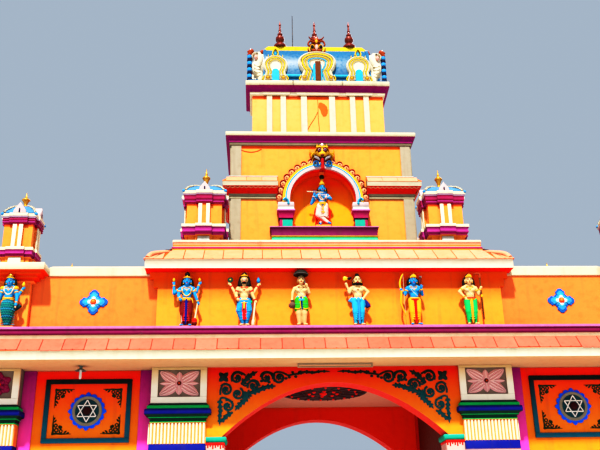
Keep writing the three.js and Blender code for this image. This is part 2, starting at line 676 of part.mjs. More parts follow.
function lights() {
  const shade = [[0, -225], [22, -215], [22, -85], [95, -85], [95, -75], [30, -30], [30, 0], [0, 0]];
  addMesh('bay_lamp', turned(shade, -4291, -2560, SOFFIT, 12), WHITE);
  addMesh('tube_light', joined([
    block(-620, 630, -2660, -2620, SOFFIT - 25, SOFFIT),
    block(-620, -590, -2655, -2625, SOFFIT - 75, SOFFIT - 25),
    block(600, 630, -2655, -2625, SOFFIT - 75, SOFFIT - 25),
    block(-600, 610, -2652, -2628, SOFFIT - 75, SOFFIT - 51),
  ]), WHITE);
}

groundStorey();
mainCornice();
parapets();
figureStorey();
for (const [label, side] of [['left', -1], ['right', 1]]) {
  addMesh(`front_${label}_turret`, bigTurret(side, -1), ORANGE);
  addMesh(`rear_${label}_turret`, bigTurret(side, 1), ORANGE);
}
tower();
topStorey();
barrelRoof();
figures();
lights();

export default group;
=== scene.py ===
# Looks of a painted temple gateway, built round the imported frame.
# Metres, +Z is up, the front faces -Y, and the origin is the middle of the footprint.
import random
from math import acos, atan2, copysign, cos, dist, hypot, pi, radians, sin, sqrt

import bpy
from mathutils import Matrix, Vector
from mathutils.bvhtree import BVHTree


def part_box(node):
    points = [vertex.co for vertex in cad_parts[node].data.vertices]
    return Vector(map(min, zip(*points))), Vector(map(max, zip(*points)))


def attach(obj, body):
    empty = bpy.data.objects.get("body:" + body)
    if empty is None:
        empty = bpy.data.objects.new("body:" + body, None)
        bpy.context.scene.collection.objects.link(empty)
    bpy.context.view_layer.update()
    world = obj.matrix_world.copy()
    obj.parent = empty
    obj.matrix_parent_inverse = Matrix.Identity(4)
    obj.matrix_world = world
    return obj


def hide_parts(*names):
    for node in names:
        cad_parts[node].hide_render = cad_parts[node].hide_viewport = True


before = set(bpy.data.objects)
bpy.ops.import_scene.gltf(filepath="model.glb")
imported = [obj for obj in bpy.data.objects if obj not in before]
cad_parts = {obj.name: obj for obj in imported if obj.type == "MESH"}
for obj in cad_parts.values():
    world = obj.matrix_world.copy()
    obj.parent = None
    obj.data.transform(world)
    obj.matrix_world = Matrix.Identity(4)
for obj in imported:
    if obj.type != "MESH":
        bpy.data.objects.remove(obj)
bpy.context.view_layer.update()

# Sizes that come from the frame
WALL = -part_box("front_arch_wall")[0].y
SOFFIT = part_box("main_cornice_slab")[0].z
SLAB_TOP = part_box("main_cornice_slab")[1].z
END_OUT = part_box("right_rear_parapet")[1].x - 0.24
LEDGE_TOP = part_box("ledge_course")[1].z
STOREY_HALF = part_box("figure_storey_walls")[1].x - 0.15
COPING_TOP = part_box("front_left_wing_wall")[1].z
UPPER_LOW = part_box("upper_cornice_slab")[0].z
UPPER_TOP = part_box("upper_cornice_slab")[1].z
PLATFORM_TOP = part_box("tower_platform")[1].z
TOWER_AT = (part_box("tower_side_and_rear_walls")[0].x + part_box("tower_side_and_rear_walls")[1].x) / 2
TOWER_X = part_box("tower_side_and_rear_walls")[1].x - TOWER_AT
TOWER_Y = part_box("tower_side_and_rear_walls")[1].y
TOWER_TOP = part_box("tower_front_wall")[1].z
TOWER_CAP_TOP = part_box("tower_upper_cornice")[1].z
TOP_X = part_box("top_storey_walls")[1].x - TOWER_AT
TOP_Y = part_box("top_storey_walls")[1].y - 0.03

# Sizes shared by several pieces
PIER_IN = 2.18
PIER_OUT = 3.12
BAY_FACE = 2.16
END_IN = 5.33
END_BACK = 1.69
ARCH_HALF = 1.92
STRIP = 0.22
NICHE_HALF = 0.68
NICHE_SPRING = 8.353
ROOF_LOW = 11.44
TILE_THICK = 0.014
ON_TOWER = Matrix.Translation((TOWER_AT, 0, 0))

LOOSE = random.Random(7)


# Finishes

def linear(hexed):
    parts = [int(hexed[i:i + 2], 16) / 255 for i in (1, 3, 5)]
    return tuple(((p + 0.055) / 1.055) ** 2.4 if p > 0.04045 else p / 12.92 for p in parts) + (1,)


class Graph:
    """The node tree of one finish."""

    def __init__(self, name):
        self.material = bpy.data.materials.new(name)
        self.material.use_nodes = True
        self.tree = self.material.node_tree
        self.shader = self.tree.nodes["Principled BSDF"]
        self.place = self.new("TexCoord").outputs["Object"]

    def new(self, kind, inputs=None, **settings):
        made = self.tree.nodes.new("ShaderNode" + kind)
        for key, value in settings.items():
            setattr(made, key, value)
        for key, value in (inputs or {}).items():
            if isinstance(value, bpy.types.NodeSocket):
                self.tree.links.new(value, made.inputs[key])
            else:
                made.inputs[key].default_value = value
        return made

    def noise(self, scale, detail, stretch=(1, 1, 1)):
        spread = self.new("Mapping", {"Vector": self.place, "Scale": stretch}).outputs[0]
        return self.new("TexNoise", {"Vector": spread, "Scale": scale, "Detail": detail}).outputs[0]

    def span(self, value, low, high, start=0, end=1):
        inputs = {"Value": value, "From Min": low, "From Max": high, "To Min": start, "To Max": end}
        return self.new("MapRange", inputs).outputs[0]

    def math(self, operation, a, b=0):
        return self.new("Math", {0: a, 1: b}, operation=operation).outputs[0]

    def mix(self, share, a, b):
        return self.new("Mix", {0: share, 6: a, 7: b}, data_type="RGBA").outputs[2]

    def shade(self, **inputs):
        for key, value in inputs.items():
            key = key.replace("_", " ")
            if isinstance(value, bpy.types.NodeSocket):
                self.tree.links.new(value, self.shader.inputs[key])
            else:
                self.shader.inputs[key].default_value = value
        return self.material


FINISHES = {}


def paint(name, colour, worn, grime_and_crevice_shade=0.35, streaks=0.3, rough=0.75, grain=0.5, toned=None, zones=(),
          shade=None, shade_above=None, gloss=0.12):
    """Masonry paint: it fades in patches, mottles, streaks on walls, gathers dust on ledges and is painted
    darker in corners as painted shade.
    A shade colour, where given, is painted in as shade where overhangs close off the sky. A zone is a test of
    the place on the object, and the colour used there, with or without a painted shade above of its own. A
    shade above is two heights and the colour, painted shade, that the paint has above the second."""
    graph = Graph(name)
    base = linear(colour)
    dust = linear("#4a3c30")
    shown = graph.mix(graph.span(graph.noise(0.7, 5), 0.42, 0.72, 0, 0.75), base, linear(worn))
    # Painted shade: above the given heights the colour turns to the shade colour.
    def shaded_above(tint, limits):
        height = graph.new("SeparateXYZ", {0: graph.place}).outputs[2]
        return graph.mix(graph.span(height, limits[0], limits[1]), tint, linear(limits[2]))
    if shade_above:
        shown = shaded_above(shown, shade_above)
    for test, tint, *own_shade in zones:
        tint = shaded_above(linear(tint), own_shade[0]) if own_shade else linear(tint)
        shown = graph.mix(test(graph), shown, tint)
    if toned:
        tone = graph.new("Attribute", attribute_name="tone").outputs["Fac"]
        shown = graph.mix(tone, shown, linear(toned))
    deep = graph.new("Mix", {0: 1, 6: shown, 7: shown}, data_type="RGBA", blend_type="MULTIPLY").outputs[2]
    shown = graph.mix(graph.span(graph.noise(9, 4), 0.5, 0.8, 0, 0.22), shown, deep)
    normal = graph.new("SeparateXYZ", {0: graph.new("NewGeometry").outputs["Normal"]}).outputs[2]
    upright = graph.span(graph.math("ABSOLUTE", normal), 0.3, 0.7, 1, 0)
    runs = graph.span(graph.noise(3.2, 4, (2.2, 2.2, 0.16)), 0.55, 0.8, 0, streaks)
    shown = graph.mix(graph.math("MULTIPLY", runs, upright), shown, dust)
    ledge = graph.span(normal, 0.55, 0.95, 0, grime_and_crevice_shade)
    patch = graph.span(graph.noise(4, 5), 0.38, 0.68, 0, 1)
    shown = graph.mix(graph.math("MULTIPLY", ledge, patch), shown, dust)
    # Painted shade: within 12 cm of other surfaces the colour darkens in corners and crevices.
    corner = graph.new("AmbientOcclusion", {"Distance": 0.12}, samples=4).outputs["AO"]
    crevice_shade = graph.span(corner, 0.35, 0.85, grime_and_crevice_shade * 1.2, 0)
    shown = graph.mix(crevice_shade, shown, tuple(c * 0.25 for c in base[:3]) + (1,))
    # Painted shade: where overhangs close off the sky within 1.4 m, the colour turns to the shade colour.
    if shade:
        open_sky = graph.new("AmbientOcclusion", {"Distance": 1.4}, samples=6).outputs["AO"]
        shown = graph.mix(graph.span(open_sky, 0.5, 0.95, 0.9, 0), shown, linear(shade))
    lumps = graph.math("ADD", graph.noise(7, 3), graph.math("MULTIPLY", graph.noise(70, 3), 0.35))
    bump = graph.new("Bump", {"Height": lumps, "Strength": grain, "Distance": 0.012}).outputs[0]
    roughness = graph.span(graph.noise(16, 3), 0.3, 0.7, rough - 0.12, rough + 0.1)
    FINISHES[name] = graph.shade(Base_Color=shown, Roughness=roughness, Normal=bump,
                                 Specular_IOR_Level=gloss)


def within(**limits):
    """A test that is 1 where the distance from the middle along x, y or z lies between two limits."""
    def test(graph):
        parts = graph.new("SeparateXYZ", {0: graph.place}).outputs
        result = None
        for axis, (low, high) in limits.items():
            away = graph.math("ABSOLUTE", parts["xyz".index(axis)])
            here = graph.math("MULTIPLY", graph.math("GREATER_THAN", away, low),
                              graph.math("LESS_THAN", away, high))
            result = graph.math("MULTIPLY", result, here) if result else here
        return result
    return test


def metal(name, colour, worn, metallic, rough):
    graph = Graph(name)
    shown = graph.mix(graph.span(graph.noise(14, 4), 0.4, 0.7), linear(colour), linear(worn))
    roughness = graph.span(graph.noise(30, 3), 0.3, 0.7, rough - 0.1, rough + 0.15)
    bump = graph.new("Bump", {"Height": graph.noise(40, 3), "Strength": 0.25, "Distance": 0.004}).outputs[0]
    FINISHES[name] = graph.shade(Base_Color=shown, Roughness=roughness, Normal=bump, Metallic=metallic)


NICHE_INSIDE = within(x=(0, 0.72), y=(0, 0.864), z=(7.685, 9.03))

PLAIN = (("orange", "#f08434", "#f28c3c"), ("wing_orange", "#f07432", "#f27c38"),
    ("red", "#e80c04", "#ea1808"), ("brown", "#641408", "#6c1c10"), ("soffit", "#d4a87c", "#d4b088"),
    ("cream", "#ccbc9c", "#c8b490"), ("recess", "#806c60", "#7c6858"), ("pilaster", "#988c78", "#948870"),
    ("olive", "#7c745c", "#8c846c"), ("olive_ring", "#8c8474", "#847c6c"),
    ("magenta", "#98084c", "#a01054"), ("maroon_ledge", "#640c44", "#6c104c"),
    ("ledge_magenta", "#6c0440", "#740844"), ("pink", "#b0649c", "#b46ca0"), ("rose", "#d49c90", "#d8a89c"),
    ("green", "#04b45c", "#10b864"), ("green_pale", "#30b878", "#48c088"), ("teal", "#00947c", "#109c84"),
    ("blue", "#020f78", "#06187c"), ("roof_blue", "#3c74a8", "#5084b0"), ("sky", "#2084cc", "#3c94d0"),
    ("cyan", "#189cc8", "#38acd0"), ("lilac", "#b094b4", "#b8a0bc"), ("white", "#b8b8b0", "#b0b0a8"),
    ("brown_grey", "#64483c", "#6c5044"), ("black", "#0c0a08", "#201c1a"), ("wood", "#5c2c08", "#744014"),
    ("wood_red", "#90340c", "#9c4418"), ("pale", "#c0a8a8", "#bca4a8"))
SHELTERED = (("ceiling", "#c88068", "#cc8870"), ("maroon", "#34080c", "#400c10"),
    ("turret_magenta", "#8c1048", "#941850"), ("cap_magenta", "#880860", "#8c0c60"),
    ("leaf", "#10301c", "#143420"), ("flower_blue", "#0854a8", "#105cb0"),
    ("pale_cyan", "#a8d8e4", "#a0d0dc"), ("salmon", "#ec9c6c", "#eca87c"), ("violet", "#9c2474", "#a4307c"),
    ("star_white", "#f4f0ec", "#ece4d8"), ("skin_blue", "#1080c4", "#2890cc"),
    ("skin_cream", "#d0a870", "#d4b080"), ("lime", "#2c9c10", "#3ca81c"),
    ("dark_blue", "#101c68", "#182878"), ("navy", "#0c1434", "#101c40"),
    ("dark_shade", "#1c1814", "#2c2820"), ("steel_grey", "#6c6c68", "#7c7c78"),
    ("pale_cloth", "#d8b8a8", "#d0a8a0"), ("deep_red", "#b41010", "#bc1818"),
    ("dark_red", "#680808", "#740c0c"), ("fish", "#04505c", "#086070"))
for row in PLAIN:
    paint(*row)
for row in SHELTERED:
    paint(*row, streaks=0.1)
# Painted shadow: the wall turns redder above 5.7 m, where the upper cornice's shadow falls.
paint("figure_wall", "#f28828", "#f49030", shade_above=(5.7, 6.15, "#e44c00"))
# Painted shade: the arch walls turn red towards the main cornice.
paint("arch", "#ff8410", "#ff8c18", streaks=0.1, shade_above=(3.7, 4.5, "#e40000"),
      zones=[(within(y=(0, 2.345)), "#e41c02")])
# Painted shade: the bay walls turn red towards the main cornice.
paint("bay_orange", "#ff8010", "#ff8818", shade_above=(3.6, 4.42, "#f81000"))
# Painted shadow in a strip just under the tower's cap, and painted shade in the niche, which turns redder
# towards its top.
paint("tower_front", "#f28a38", "#f49040", zones=[(within(x=(0, 3), z=(9.565, 9.66)), "#ec4c08"),
    (NICHE_INSIDE, "#fc9010", (8.3, 8.85, "#ec3404")), (within(x=(0, 0.7), y=(0.866, TOWER_Y - 0.004),
    z=(8.2, 9.06)), "#e81404"), (within(x=(1, 3), y=(TOWER_Y + 0.004, 3)), "#988c78")])
# Painted shadow in a band just under the top cornice.
paint("top_walls", "#ee9c50", "#f0a45c", zones=[(within(z=(11.03, 11.13)), "#ec5008"),
    (within(y=(0.445, 1)), "#c8b49c")])
paint("deep_orange", "#ec5c0c", "#f06c18", shade="#d81c00")
paint("passage_red", "#c80804", "#c41008", streaks=0.15, grime_and_crevice_shade=0.2)
paint("fascia", "#d8ccb0", "#d4c8a8", grime_and_crevice_shade=0.15, streaks=0.15)
# Painted shade and reflected soffit light: the capital cream turns golden towards the soffit.
paint("capital", "#f4ecdc", "#f0e6d0", streaks=0.1, shade_above=(4.25, 4.57, "#d0a868"))
paint("petal", "#e4a4a6", "#e8acac", streaks=0.1, grime_and_crevice_shade=0.6)
paint("petal_light", "#f2c8c6", "#f0c4c0", streaks=0.1, grime_and_crevice_shade=0.2)
# Painted shade: the strips turn dark magenta towards the main cornice.
paint("strip", "#fc44b0", "#fc50b4", shade_above=(3.45, 4.5, "#98046c"))
paint("red_tile", "#d0604c", "#d46c58", grime_and_crevice_shade=0.5, toned="#c85644")
paint("peach_tile", "#e08c68", "#e49874", grime_and_crevice_shade=0.3, toned="#dc8458")
paint("mortar", "#9c3820", "#904028", grime_and_crevice_shade=0.5)
paint("dark_green", "#064430", "#084a34", shade="#0a1410")
# Painted shade: the scrollwork turns nearly black towards the main cornice.
paint("scroll", "#06545c", "#0a5c60", shade_above=(3.95, 4.45, "#0c1c14"))
paint("dark_teal", "#064854", "#0a505c", shade="#0a1418")
# Painted shade: the star panel's frame and the star's rim turn darker towards the main cornice.
paint("frame_teal", "#065c74", "#0a6478", shade_above=(3.6, 4.36, "#081414"))
paint("star_blue", "#0060ff", "#0468ff", shade_above=(3.8, 4.3, "#0838c0"))
paint("barrel", "#045480", "#0a5c88", rough=0.34, gloss=0.3, grain=0.03, grime_and_crevice_shade=0.1)
paint("gold", "#d89c10", "#dca824", rough=0.5)
paint("ridge_yellow", "#dcb810", "#d8bc20", grime_and_crevice_shade=0.5)
paint("terrace", "#8a8274", "#746c60", grime_and_crevice_shade=0.6)
paint("fitting", "#a08c70", "#98846c", streaks=0.1, rough=0.45)
metal("copper", "#6c1804", "#80280c", 0.35, 0.3)
metal("brass", "#c88c1c", "#a8741c", 0.6, 0.36)
metal("steel", "#3c3c3e", "#5a4a40", 0.8, 0.45)
metal("enamel", "#d8d8d4", "#c4c4be", 0, 0.35)
metal("lamp_shade", "#585c58", "#60645c", 0.2, 0.4)


# Shapes: a shape is (points, faces), and faces turn outwards

IDENTITY = Matrix.Identity(4)


def moved(x, y, z=0):
    return Matrix.Translation((x, y, z))


def turned_round(angle):
    return Matrix.Rotation(angle, 4, "Z")


def flipped(x=1, y=1, z=1):
    return Matrix.Diagonal((x, y, z, 1))


def taper(start, end):
    """A width that changes evenly along a path."""
    return lambda t: start + (end - start) * t


def swollen(ends, more):
    """A width that is greatest at the middle of a path."""
    return lambda t: ends + more * sin(pi * t)


def wall(turn=0, out=0, u=0, z=0):
    """A drawing plane on a wall: x runs along it, y up and z out. Turn 0 is the front, 1 the right side."""
    plane = Matrix(((1, 0, 0, 0), (0, 0, -1, 0), (0, 1, 0, 0), (0, 0, 0, 1)))
    return turned_round(turn * pi / 2) @ plane @ moved(u, z, out)


def spot(u, v, angle=0):
    """A place in a drawing plane, turned there."""
    return moved(u, v) @ turned_round(angle)


def block(x0, x1, y0, y1, z0, z1, edge=0.008):
    """A block with cut edges."""
    x0, x1 = min(x0, x1), max(x0, x1)
    y0, y1 = min(y0, y1), max(y0, y1)
    z0, z1 = min(z0, z1), max(z0, z1)
    e = min(edge, (x1 - x0) / 3, (y1 - y0) / 3, (z1 - z0) / 3)
    small = [(x0 + e, y0 + e), (x1 - e, y0 + e), (x1 - e, y1 - e), (x0 + e, y1 - e)]
    wide = rectangle(x0, x1, y0, y1, e)
    points = [(x, y, z0) for x, y in small] + [(x, y, z0 + e) for x, y in wide]
    points += [(x, y, z1 - e) for x, y in wide] + [(x, y, z1) for x, y in small]
    faces = [(3, 2, 1, 0), (20, 21, 22, 23)]
    for i in range(4):
        j = (i + 1) % 4
        near, far = 2 * i + 1, (2 * i + 2) % 8
        faces += [(i, j, 4 + far, 4 + near), (i, 4 + near, 4 + 2 * i)]
        faces += [(12 + near, 12 + far, 20 + j, 20 + i), (12 + 2 * i, 12 + near, 20 + i)]
    faces += [(4 + k, 4 + (k + 1) % 8, 12 + (k + 1) % 8, 12 + k) for k in range(8)]
    return points, faces


def skin(count, rows, closed):
    """Faces between rows of points, each row running anticlockwise seen from above, from low to high."""
    faces = []
    for row in range(rows - 1):
        for i in range(count if closed else count - 1):
            a, b = row * count + i, row * count + (i + 1) % count
            faces.append((a, b, b + count, a + count))
    return faces


def rows_shape(rows, closed=True, caps=(False, False)):
    points = [p for row in rows for p in row]
    count = len(rows[0])
    faces = skin(count, len(rows), closed)
    if caps[0]:
        faces.append(tuple(range(count))[::-1])
    if caps[1]:
        faces.append(tuple(range(len(points) - count, len(points))))
    return points, faces


def angles(count, start=0):
    return [start + 2 * pi * i / count for i in range(count)]


def oval(rx, ry, z, sides):
    return [(rx * cos(a), ry * sin(a), z) for a in angles(sides)]


def lathe(profile, sides):
    radii = [(max(r, 0.0005), z) for r, z in profile]
    return rows_shape([oval(r, r, z, sides) for r, z in radii], caps=(True, True))


def boss(rx, ry, height, sides=12, rings=4, flat=1):
    """A half ball on a plane; flat above 1 gives it a flatter top."""
    rows = []
    for k in range(rings + 1):
        angle = pi / 2 * k / rings
        shrink = max(cos(angle), 0.02)
        rows.append(oval(rx * shrink, ry * shrink, height * sin(angle) ** (1 / flat), sides))
    return rows_shape(rows, caps=(False, True))


def ball(rx, ry, rz, sides=12, rings=8):
    rows = []
    for k in range(rings + 1):
        angle = pi * (k / rings - 0.5)
        shrink = max(cos(angle), 0.02)
        rows.append(oval(rx * shrink, ry * shrink, rz * sin(angle), sides))
    return rows_shape(rows, caps=(True, True))


def limb(a, b, ra, rb, sides=10):
    """A round limb between two points, with round ends."""
    a, b = Vector(a), Vector(b)
    length = (b - a).length
    profile = [(ra * cos(t), ra * sin(t)) for t in (pi / 2 * (k / 4 - 1) for k in range(4))]
    profile += [(ra, 0), (rb, length)]
    profile += [(rb * cos(t), length + rb * sin(t)) for t in (pi / 2 * k / 4 for k in range(1, 5))]
    points, faces = rows_shape([oval(max(r, 0.001), max(r, 0.001), z, sides) for r, z in profile],
                               caps=(True, True))
    place = Matrix.Translation(a) @ (b - a).to_track_quat("Z", "Y").to_matrix().to_4x4()
    return [tuple(place @ Vector(p)) for p in points], faces


def tube(path, radius, sides=8):
    """A round bar along a path in space; radius is a number or a function of the share along it."""
    path = [Vector(p) for p in path]
    last = len(path) - 1
    rows = []
    for i, p in enumerate(path):
        along = (path[min(i + 1, last)] - path[max(i - 1, 0)]).normalized()
        across = along.cross(Vector((0, 1, 0)))
        across = across.normalized() if across.length > 0.1 else Vector((1, 0, 0))
        up = across.cross(along)
        r = radius(i / last) if callable(radius) else radius
        rows.append([tuple(p + (across * cos(a) - up * sin(a)) * r) for a in angles(sides)])
    return rows_shape(rows, caps=(True, True))


def stroke(path, width, height, sides=4, closed=False, flat=False):
    """A ridge along a path in a plane, rounded or flat; width may be a function of the share along it."""
    path = [Vector((p[0], p[1])) for p in path]
    count = len(path)
    rows = []
    for i, p in enumerate(path):
        before = path[i - 1] if i or closed else p
        after = path[(i + 1) % count] if i < count - 1 or closed else p
        along = (after - before).normalized()
        left = Vector((-along.y, along.x))
        half = (width(i / (count - 1)) if callable(width) else width) / 2
        high = height * min(1, half / 0.008)
        if flat:
            section = [(1, -0.004), (1, high - 0.005), (1 - 0.005 / max(half, 0.01), high)]
            section += [(-across, up) for across, up in section[::-1]]
        else:
            section = [(cos(a), high * sin(a) - 0.004) for a in (pi * k / sides for k in range(sides + 1))]
        rows.append([(*(p + left * half * across), up) for across, up in section])
    size = len(rows[0])
    points = [p for row in rows for p in row]
    faces = []
    for row in range(count if closed else count - 1):
        start, end = row * size, (row + 1) % count * size
        for k in range(size):
            following = (k + 1) % size
            faces.append((start + k, start + following, end + following, end + k))
    if not closed:
        faces.append(tuple(range(size))[::-1])
        faces.append(tuple(range(len(points) - size, len(points))))
    return points, faces


def plate(outline, low, high, edge=0.006):
    """A flat shape drawn in a plane, anticlockwise, raised from low to high with a cut top edge."""
    inner = inset(outline, edge)
    rows = [[(x, y, low) for x, y in outline], [(x, y, high - edge) for x, y in outline],
            [(x, y, high) for x, y in inner]]
    return rows_shape(rows, caps=(True, True))


def inset(outline, depth):
    made = []
    count = len(outline)
    for i, (x, y) in enumerate(outline):
        before = Vector((x - outline[i - 1][0], y - outline[i - 1][1])).normalized()
        after = Vector((outline[(i + 1) % count][0] - x, outline[(i + 1) % count][1] - y)).normalized()
        a, b = Vector((-before.y, before.x)), Vector((-after.y, after.x))
        move = (a + b) / max(1 + a.dot(b), 0.4) * depth
        made.append((x + move.x, y + move.y))
    return made


def rectangle(x0, x1, y0, y1, corner=0.01):
    c = corner
    return [(x0, y0 + c), (x0 + c, y0), (x1 - c, y0), (x1, y0 + c),
            (x1, y1 - c), (x1 - c, y1), (x0 + c, y1), (x0, y1 - c)]


def around(hx, hy, cx=0, cy=0):
    """A loop round a centre that grows with how far out the moulding is."""
    return lambda out: rectangle(cx - hx - out, cx + hx + out, cy - hy - out, cy + hy + out)


def crossed(cx, cy, bay, proud):
    """A square loop with a shallow bay in the middle of each side; its argument is the half width."""
    def loop(half):
        quarter = [(-half, -half), (-bay, -half), (-bay, -half - proud), (bay, -half - proud), (bay, -half)]
        made = []
        for c, s in ((1, 0), (0, 1), (-1, 0), (0, -1)):
            made += [(cx + x * c - y * s, cy + x * s + y * c) for x, y in quarter]
        return made
    return loop


def arc(start, end, depth, steps=5):
    """A curve between two profile points, bulging outwards by depth, or inwards if it is negative."""
    (o0, z0), (o1, z1) = start, end
    length = hypot(o1 - o0, z1 - z0)
    nx, nz = (z1 - z0) / length, -(o1 - o0) / length
    made = []
    for i in range(steps + 1):
        share = i / steps
        swell = depth * sin(pi * share)
        made.append((o0 + (o1 - o0) * share + nx * swell, z0 + (z1 - z0) * share + nz * swell))
    return made


def circle(radius, count, start=0):
    return [(radius * cos(a), radius * sin(a)) for a in angles(count, start)]


def curve(points, steps=6):
    """A smooth path through a few points."""
    p = [Vector(q) for q in points]
    p = [2 * p[0] - p[1]] + p + [2 * p[-1] - p[-2]]
    made = []
    for i in range(1, len(p) - 2):
        for k in range(steps):
            t = k / steps
            a, b, c, d = p[i - 1], p[i], p[i + 1], p[i + 2]
            made.append(0.5 * ((2 * b) + (c - a) * t + (2 * a - 5 * b + 4 * c - d) * t ** 2
                               + (3 * b - a - 3 * c + d) * t ** 3))
    made.append(p[-2])
    return [tuple(q) for q in made]


def spiral(cx, cy, radius, start, turns, end_radius=0.012, count=22):
    """A path that winds in from the rim; turns below 0 wind clockwise."""
    made = []
    for i in range(count):
        share = i / (count - 1)
        r = radius + (end_radius - radius) * share
        a = start + 2 * pi * turns * share
        made.append((cx + r * cos(a), cy + r * sin(a)))
    return made


class Piece:
    """One object of the scene, made of shapes in several finishes."""

    def __init__(self, name, slot=None, replaces=(), base=IDENTITY):
        self.name, self.slot, self.replaces = name, slot, replaces
        self.points, self.faces, self.finish, self.tones = [], [], [], []
        self.finishes = []
        self.base, self.place = base, IDENTITY

    def add(self, shape, finish, place=IDENTITY, tone=0):
        """Adds a shape. Finish is one name, or one for each face."""
        points, faces = shape
        start = len(self.points)
        place = self.base @ self.place @ place
        self.points += [tuple(place @ Vector(p)) for p in points]
        flip = place.determinant() < 0
        for face in faces:
            shifted = [start + i for i in face]
            self.faces.append(shifted[::-1] if flip else shifted)
        names = [finish] * len(faces) if isinstance(finish, str) else finish
        for name in names:
            if name not in self.finishes:
                self.finishes.append(name)
        self.finish += [self.finishes.index(name) for name in names]
        self.tones += [tone] * len(faces)

    def draw(self, points, width, height, finish, place, sides=4):
        """A ridge along a smooth path."""
        self.add(stroke(curve(points), width, height, sides), finish, place)

    def sweep(self, loop, profile, soft=0.006, closed=True):
        """A moulding run round a loop. A word in the profile sets the finish of what follows."""
        points, marks, mark = [], [], None
        for item in profile:
            if isinstance(item, str):
                mark = item
            elif points and dist(points[-1], item) < 1e-6:
                marks[-1] = mark
            else:
                points.append(item)
                marks.append(mark)
        path, finishes = [points[0]], [marks[0]]
        for i in range(1, len(points) - 1):
            p, q, r = (Vector(points[k]) for k in (i - 1, i, i + 1))
            before, after = (q - p).length, (r - q).length
            cut = min(soft, before / 3, after / 3)
            if (q - p).angle(r - q, 0) > 0.6 and cut > 0.0008:
                path += [tuple(q + (p - q).normalized() * cut), tuple(q + (r - q).normalized() * cut)]
                finishes += [marks[i - 1], marks[i]]
            else:
                path.append(tuple(q))
                finishes.append(marks[i])
        path.append(points[-1])
        rows = [[(x, y, z) for x, y in loop(out)] for out, z in path]
        count = len(rows[0])
        shape = rows_shape(rows, closed)
        names = [name for name in finishes for _ in range(count if closed else count - 1)]
        if not closed:
            size = len(rows)
            shape[1].append(tuple(k * count for k in range(size)))
            shape[1].append(tuple(k * count + count - 1 for k in range(size))[::-1])
            names += [finishes[0], finishes[0]]
        self.add(shape, names)

    def cap(self, outline, z, finish, up=True):
        face = tuple(range(len(outline)))
        self.add(([(x, y, z) for x, y in outline], [face if up else face[::-1]]), finish)

    def collar(self, inner, outer, z, finish, up=True):
        """A flat face between two loops of as many points."""
        rows = [outer, inner] if up else [inner, outer]
        self.add(rows_shape([[(x, y, z) for x, y in row] for row in rows]), finish)

    def build(self, sharp=42):
        mesh = bpy.data.meshes.new(self.name)
        mesh.from_pydata(self.points, [], self.faces)
        for finish in self.finishes:
            mesh.materials.append(FINISHES[finish])
        mesh.polygons.foreach_set("material_index", self.finish)
        tone = mesh.attributes.new("tone", "FLOAT", "FACE")
        tone.data.foreach_set("value", self.tones)
        mesh.validate()
        mesh.shade_smooth()
        mesh.set_sharp_from_angle(angle=radians(sharp))
        made = bpy.data.objects.new(self.name, mesh)
        bpy.context.scene.collection.objects.link(made)
        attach(made, "root")
        if self.replaces:
            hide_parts(*self.replaces)
        return made


SIDES = (("left", -1), ("right", 1))
CORNERS = ((-1, -1), (-1, 1), (1, -1), (1, 1))


def quarter(side, facing):
    """Mirrors what is drawn for the right side of the front to any quarter; facing is -1 at the front."""
    return flipped(side, -facing)


def dress(node, finish, edge=0.01):
    """Gives a solid of the frame its finish and cut edges."""
    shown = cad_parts[node]
    if not shown.material_slots:
        shown.data.materials.append(None)
    for place in shown.material_slots:
        place.material = FINISHES[finish]
    bevel = shown.modifiers.new("edges", "BEVEL")
    bevel.width = edge
    bevel.limit_method = "ANGLE"
    bevel.angle_limit = radians(40)
    bevel.use_clamp_overlap = False


# Flowers and other reliefs, drawn in a plane

def petals(piece, finish, place, count, length, width, height, start=0):
    """Pointed petals round a centre."""
    swell = lambda t: width * sin(pi * min(t * 0.85 + 0.12, 1)) ** 0.8
    for angle in angles(count, start):
        piece.add(stroke([(length * k / 9, 0) for k in range(10)], swell, height, 6), finish,
                  place @ turned_round(angle))


def ring(piece, finish, place, radius, width, height, count):
    piece.add(stroke(circle(radius, count), width, height, 4, closed=True), finish, place)


def frame_of(piece, finish, place, x0, x1, y0, y1, width, height):
    """A picture frame drawn in a plane."""
    for a, b, c, d in ((x0, x1, y1 - width, y1), (x0, x1, y0, y0 + width),
                       (x0, x0 + width, y0 + width, y1 - width), (x1 - width, x1, y0 + width, y1 - width)):
        piece.add(block(a, b, c, d, -0.01, height, 0.005), finish, place)


# Ground storey

PIER_COURSES = [
    "rose", (0.16, 0), (0.16, 0.27), (0.13, 0.3), (0.12, 0.31), (0.12, 0.44), (0.06, 0.46), (0.06, 3.144),
    "blue", (0.07, 3.144), (0.07, 3.28),
    "orange", (0.042, 3.285), (0.042, 3.632),
    "green", (0.068, 3.632), (0.068, 3.656),
    "dark_green", (0.055, 3.66), *arc((0.055, 3.666), (0.085, 3.706), -0.008, 3),
    "green", (0.092, 3.708), (0.092, 3.72),
    "dark_green", *arc((0.095, 3.722), (0.135, 3.758), -0.008, 3),
    "blue", (0.15, 3.76), (0.155, 3.804), (0.15, 3.854),
    "green", (0.118, 3.856), (0.118, 3.912),
    "dark_teal", (0.108, 3.914), (0.075, 3.954),
    "recess", (0.03, 3.956), (0.02, 3.97), (0.02, SOFFIT)]
CAPITAL_LOW = 3.956
FLUTE = 0.058


def pier_loop(inner, outer, back, free_side):
    """A pier's plan; its mouldings run on round the side that stands free."""
    def loop(out):
        spread = max(out - 0.07, 0)
        far = out if free_side else spread
        return rectangle(inner - spread, outer + far, -WALL - out, back)
    return loop


FLUTE_FOOT, FLUTE_TOP = 3.288, 3.628


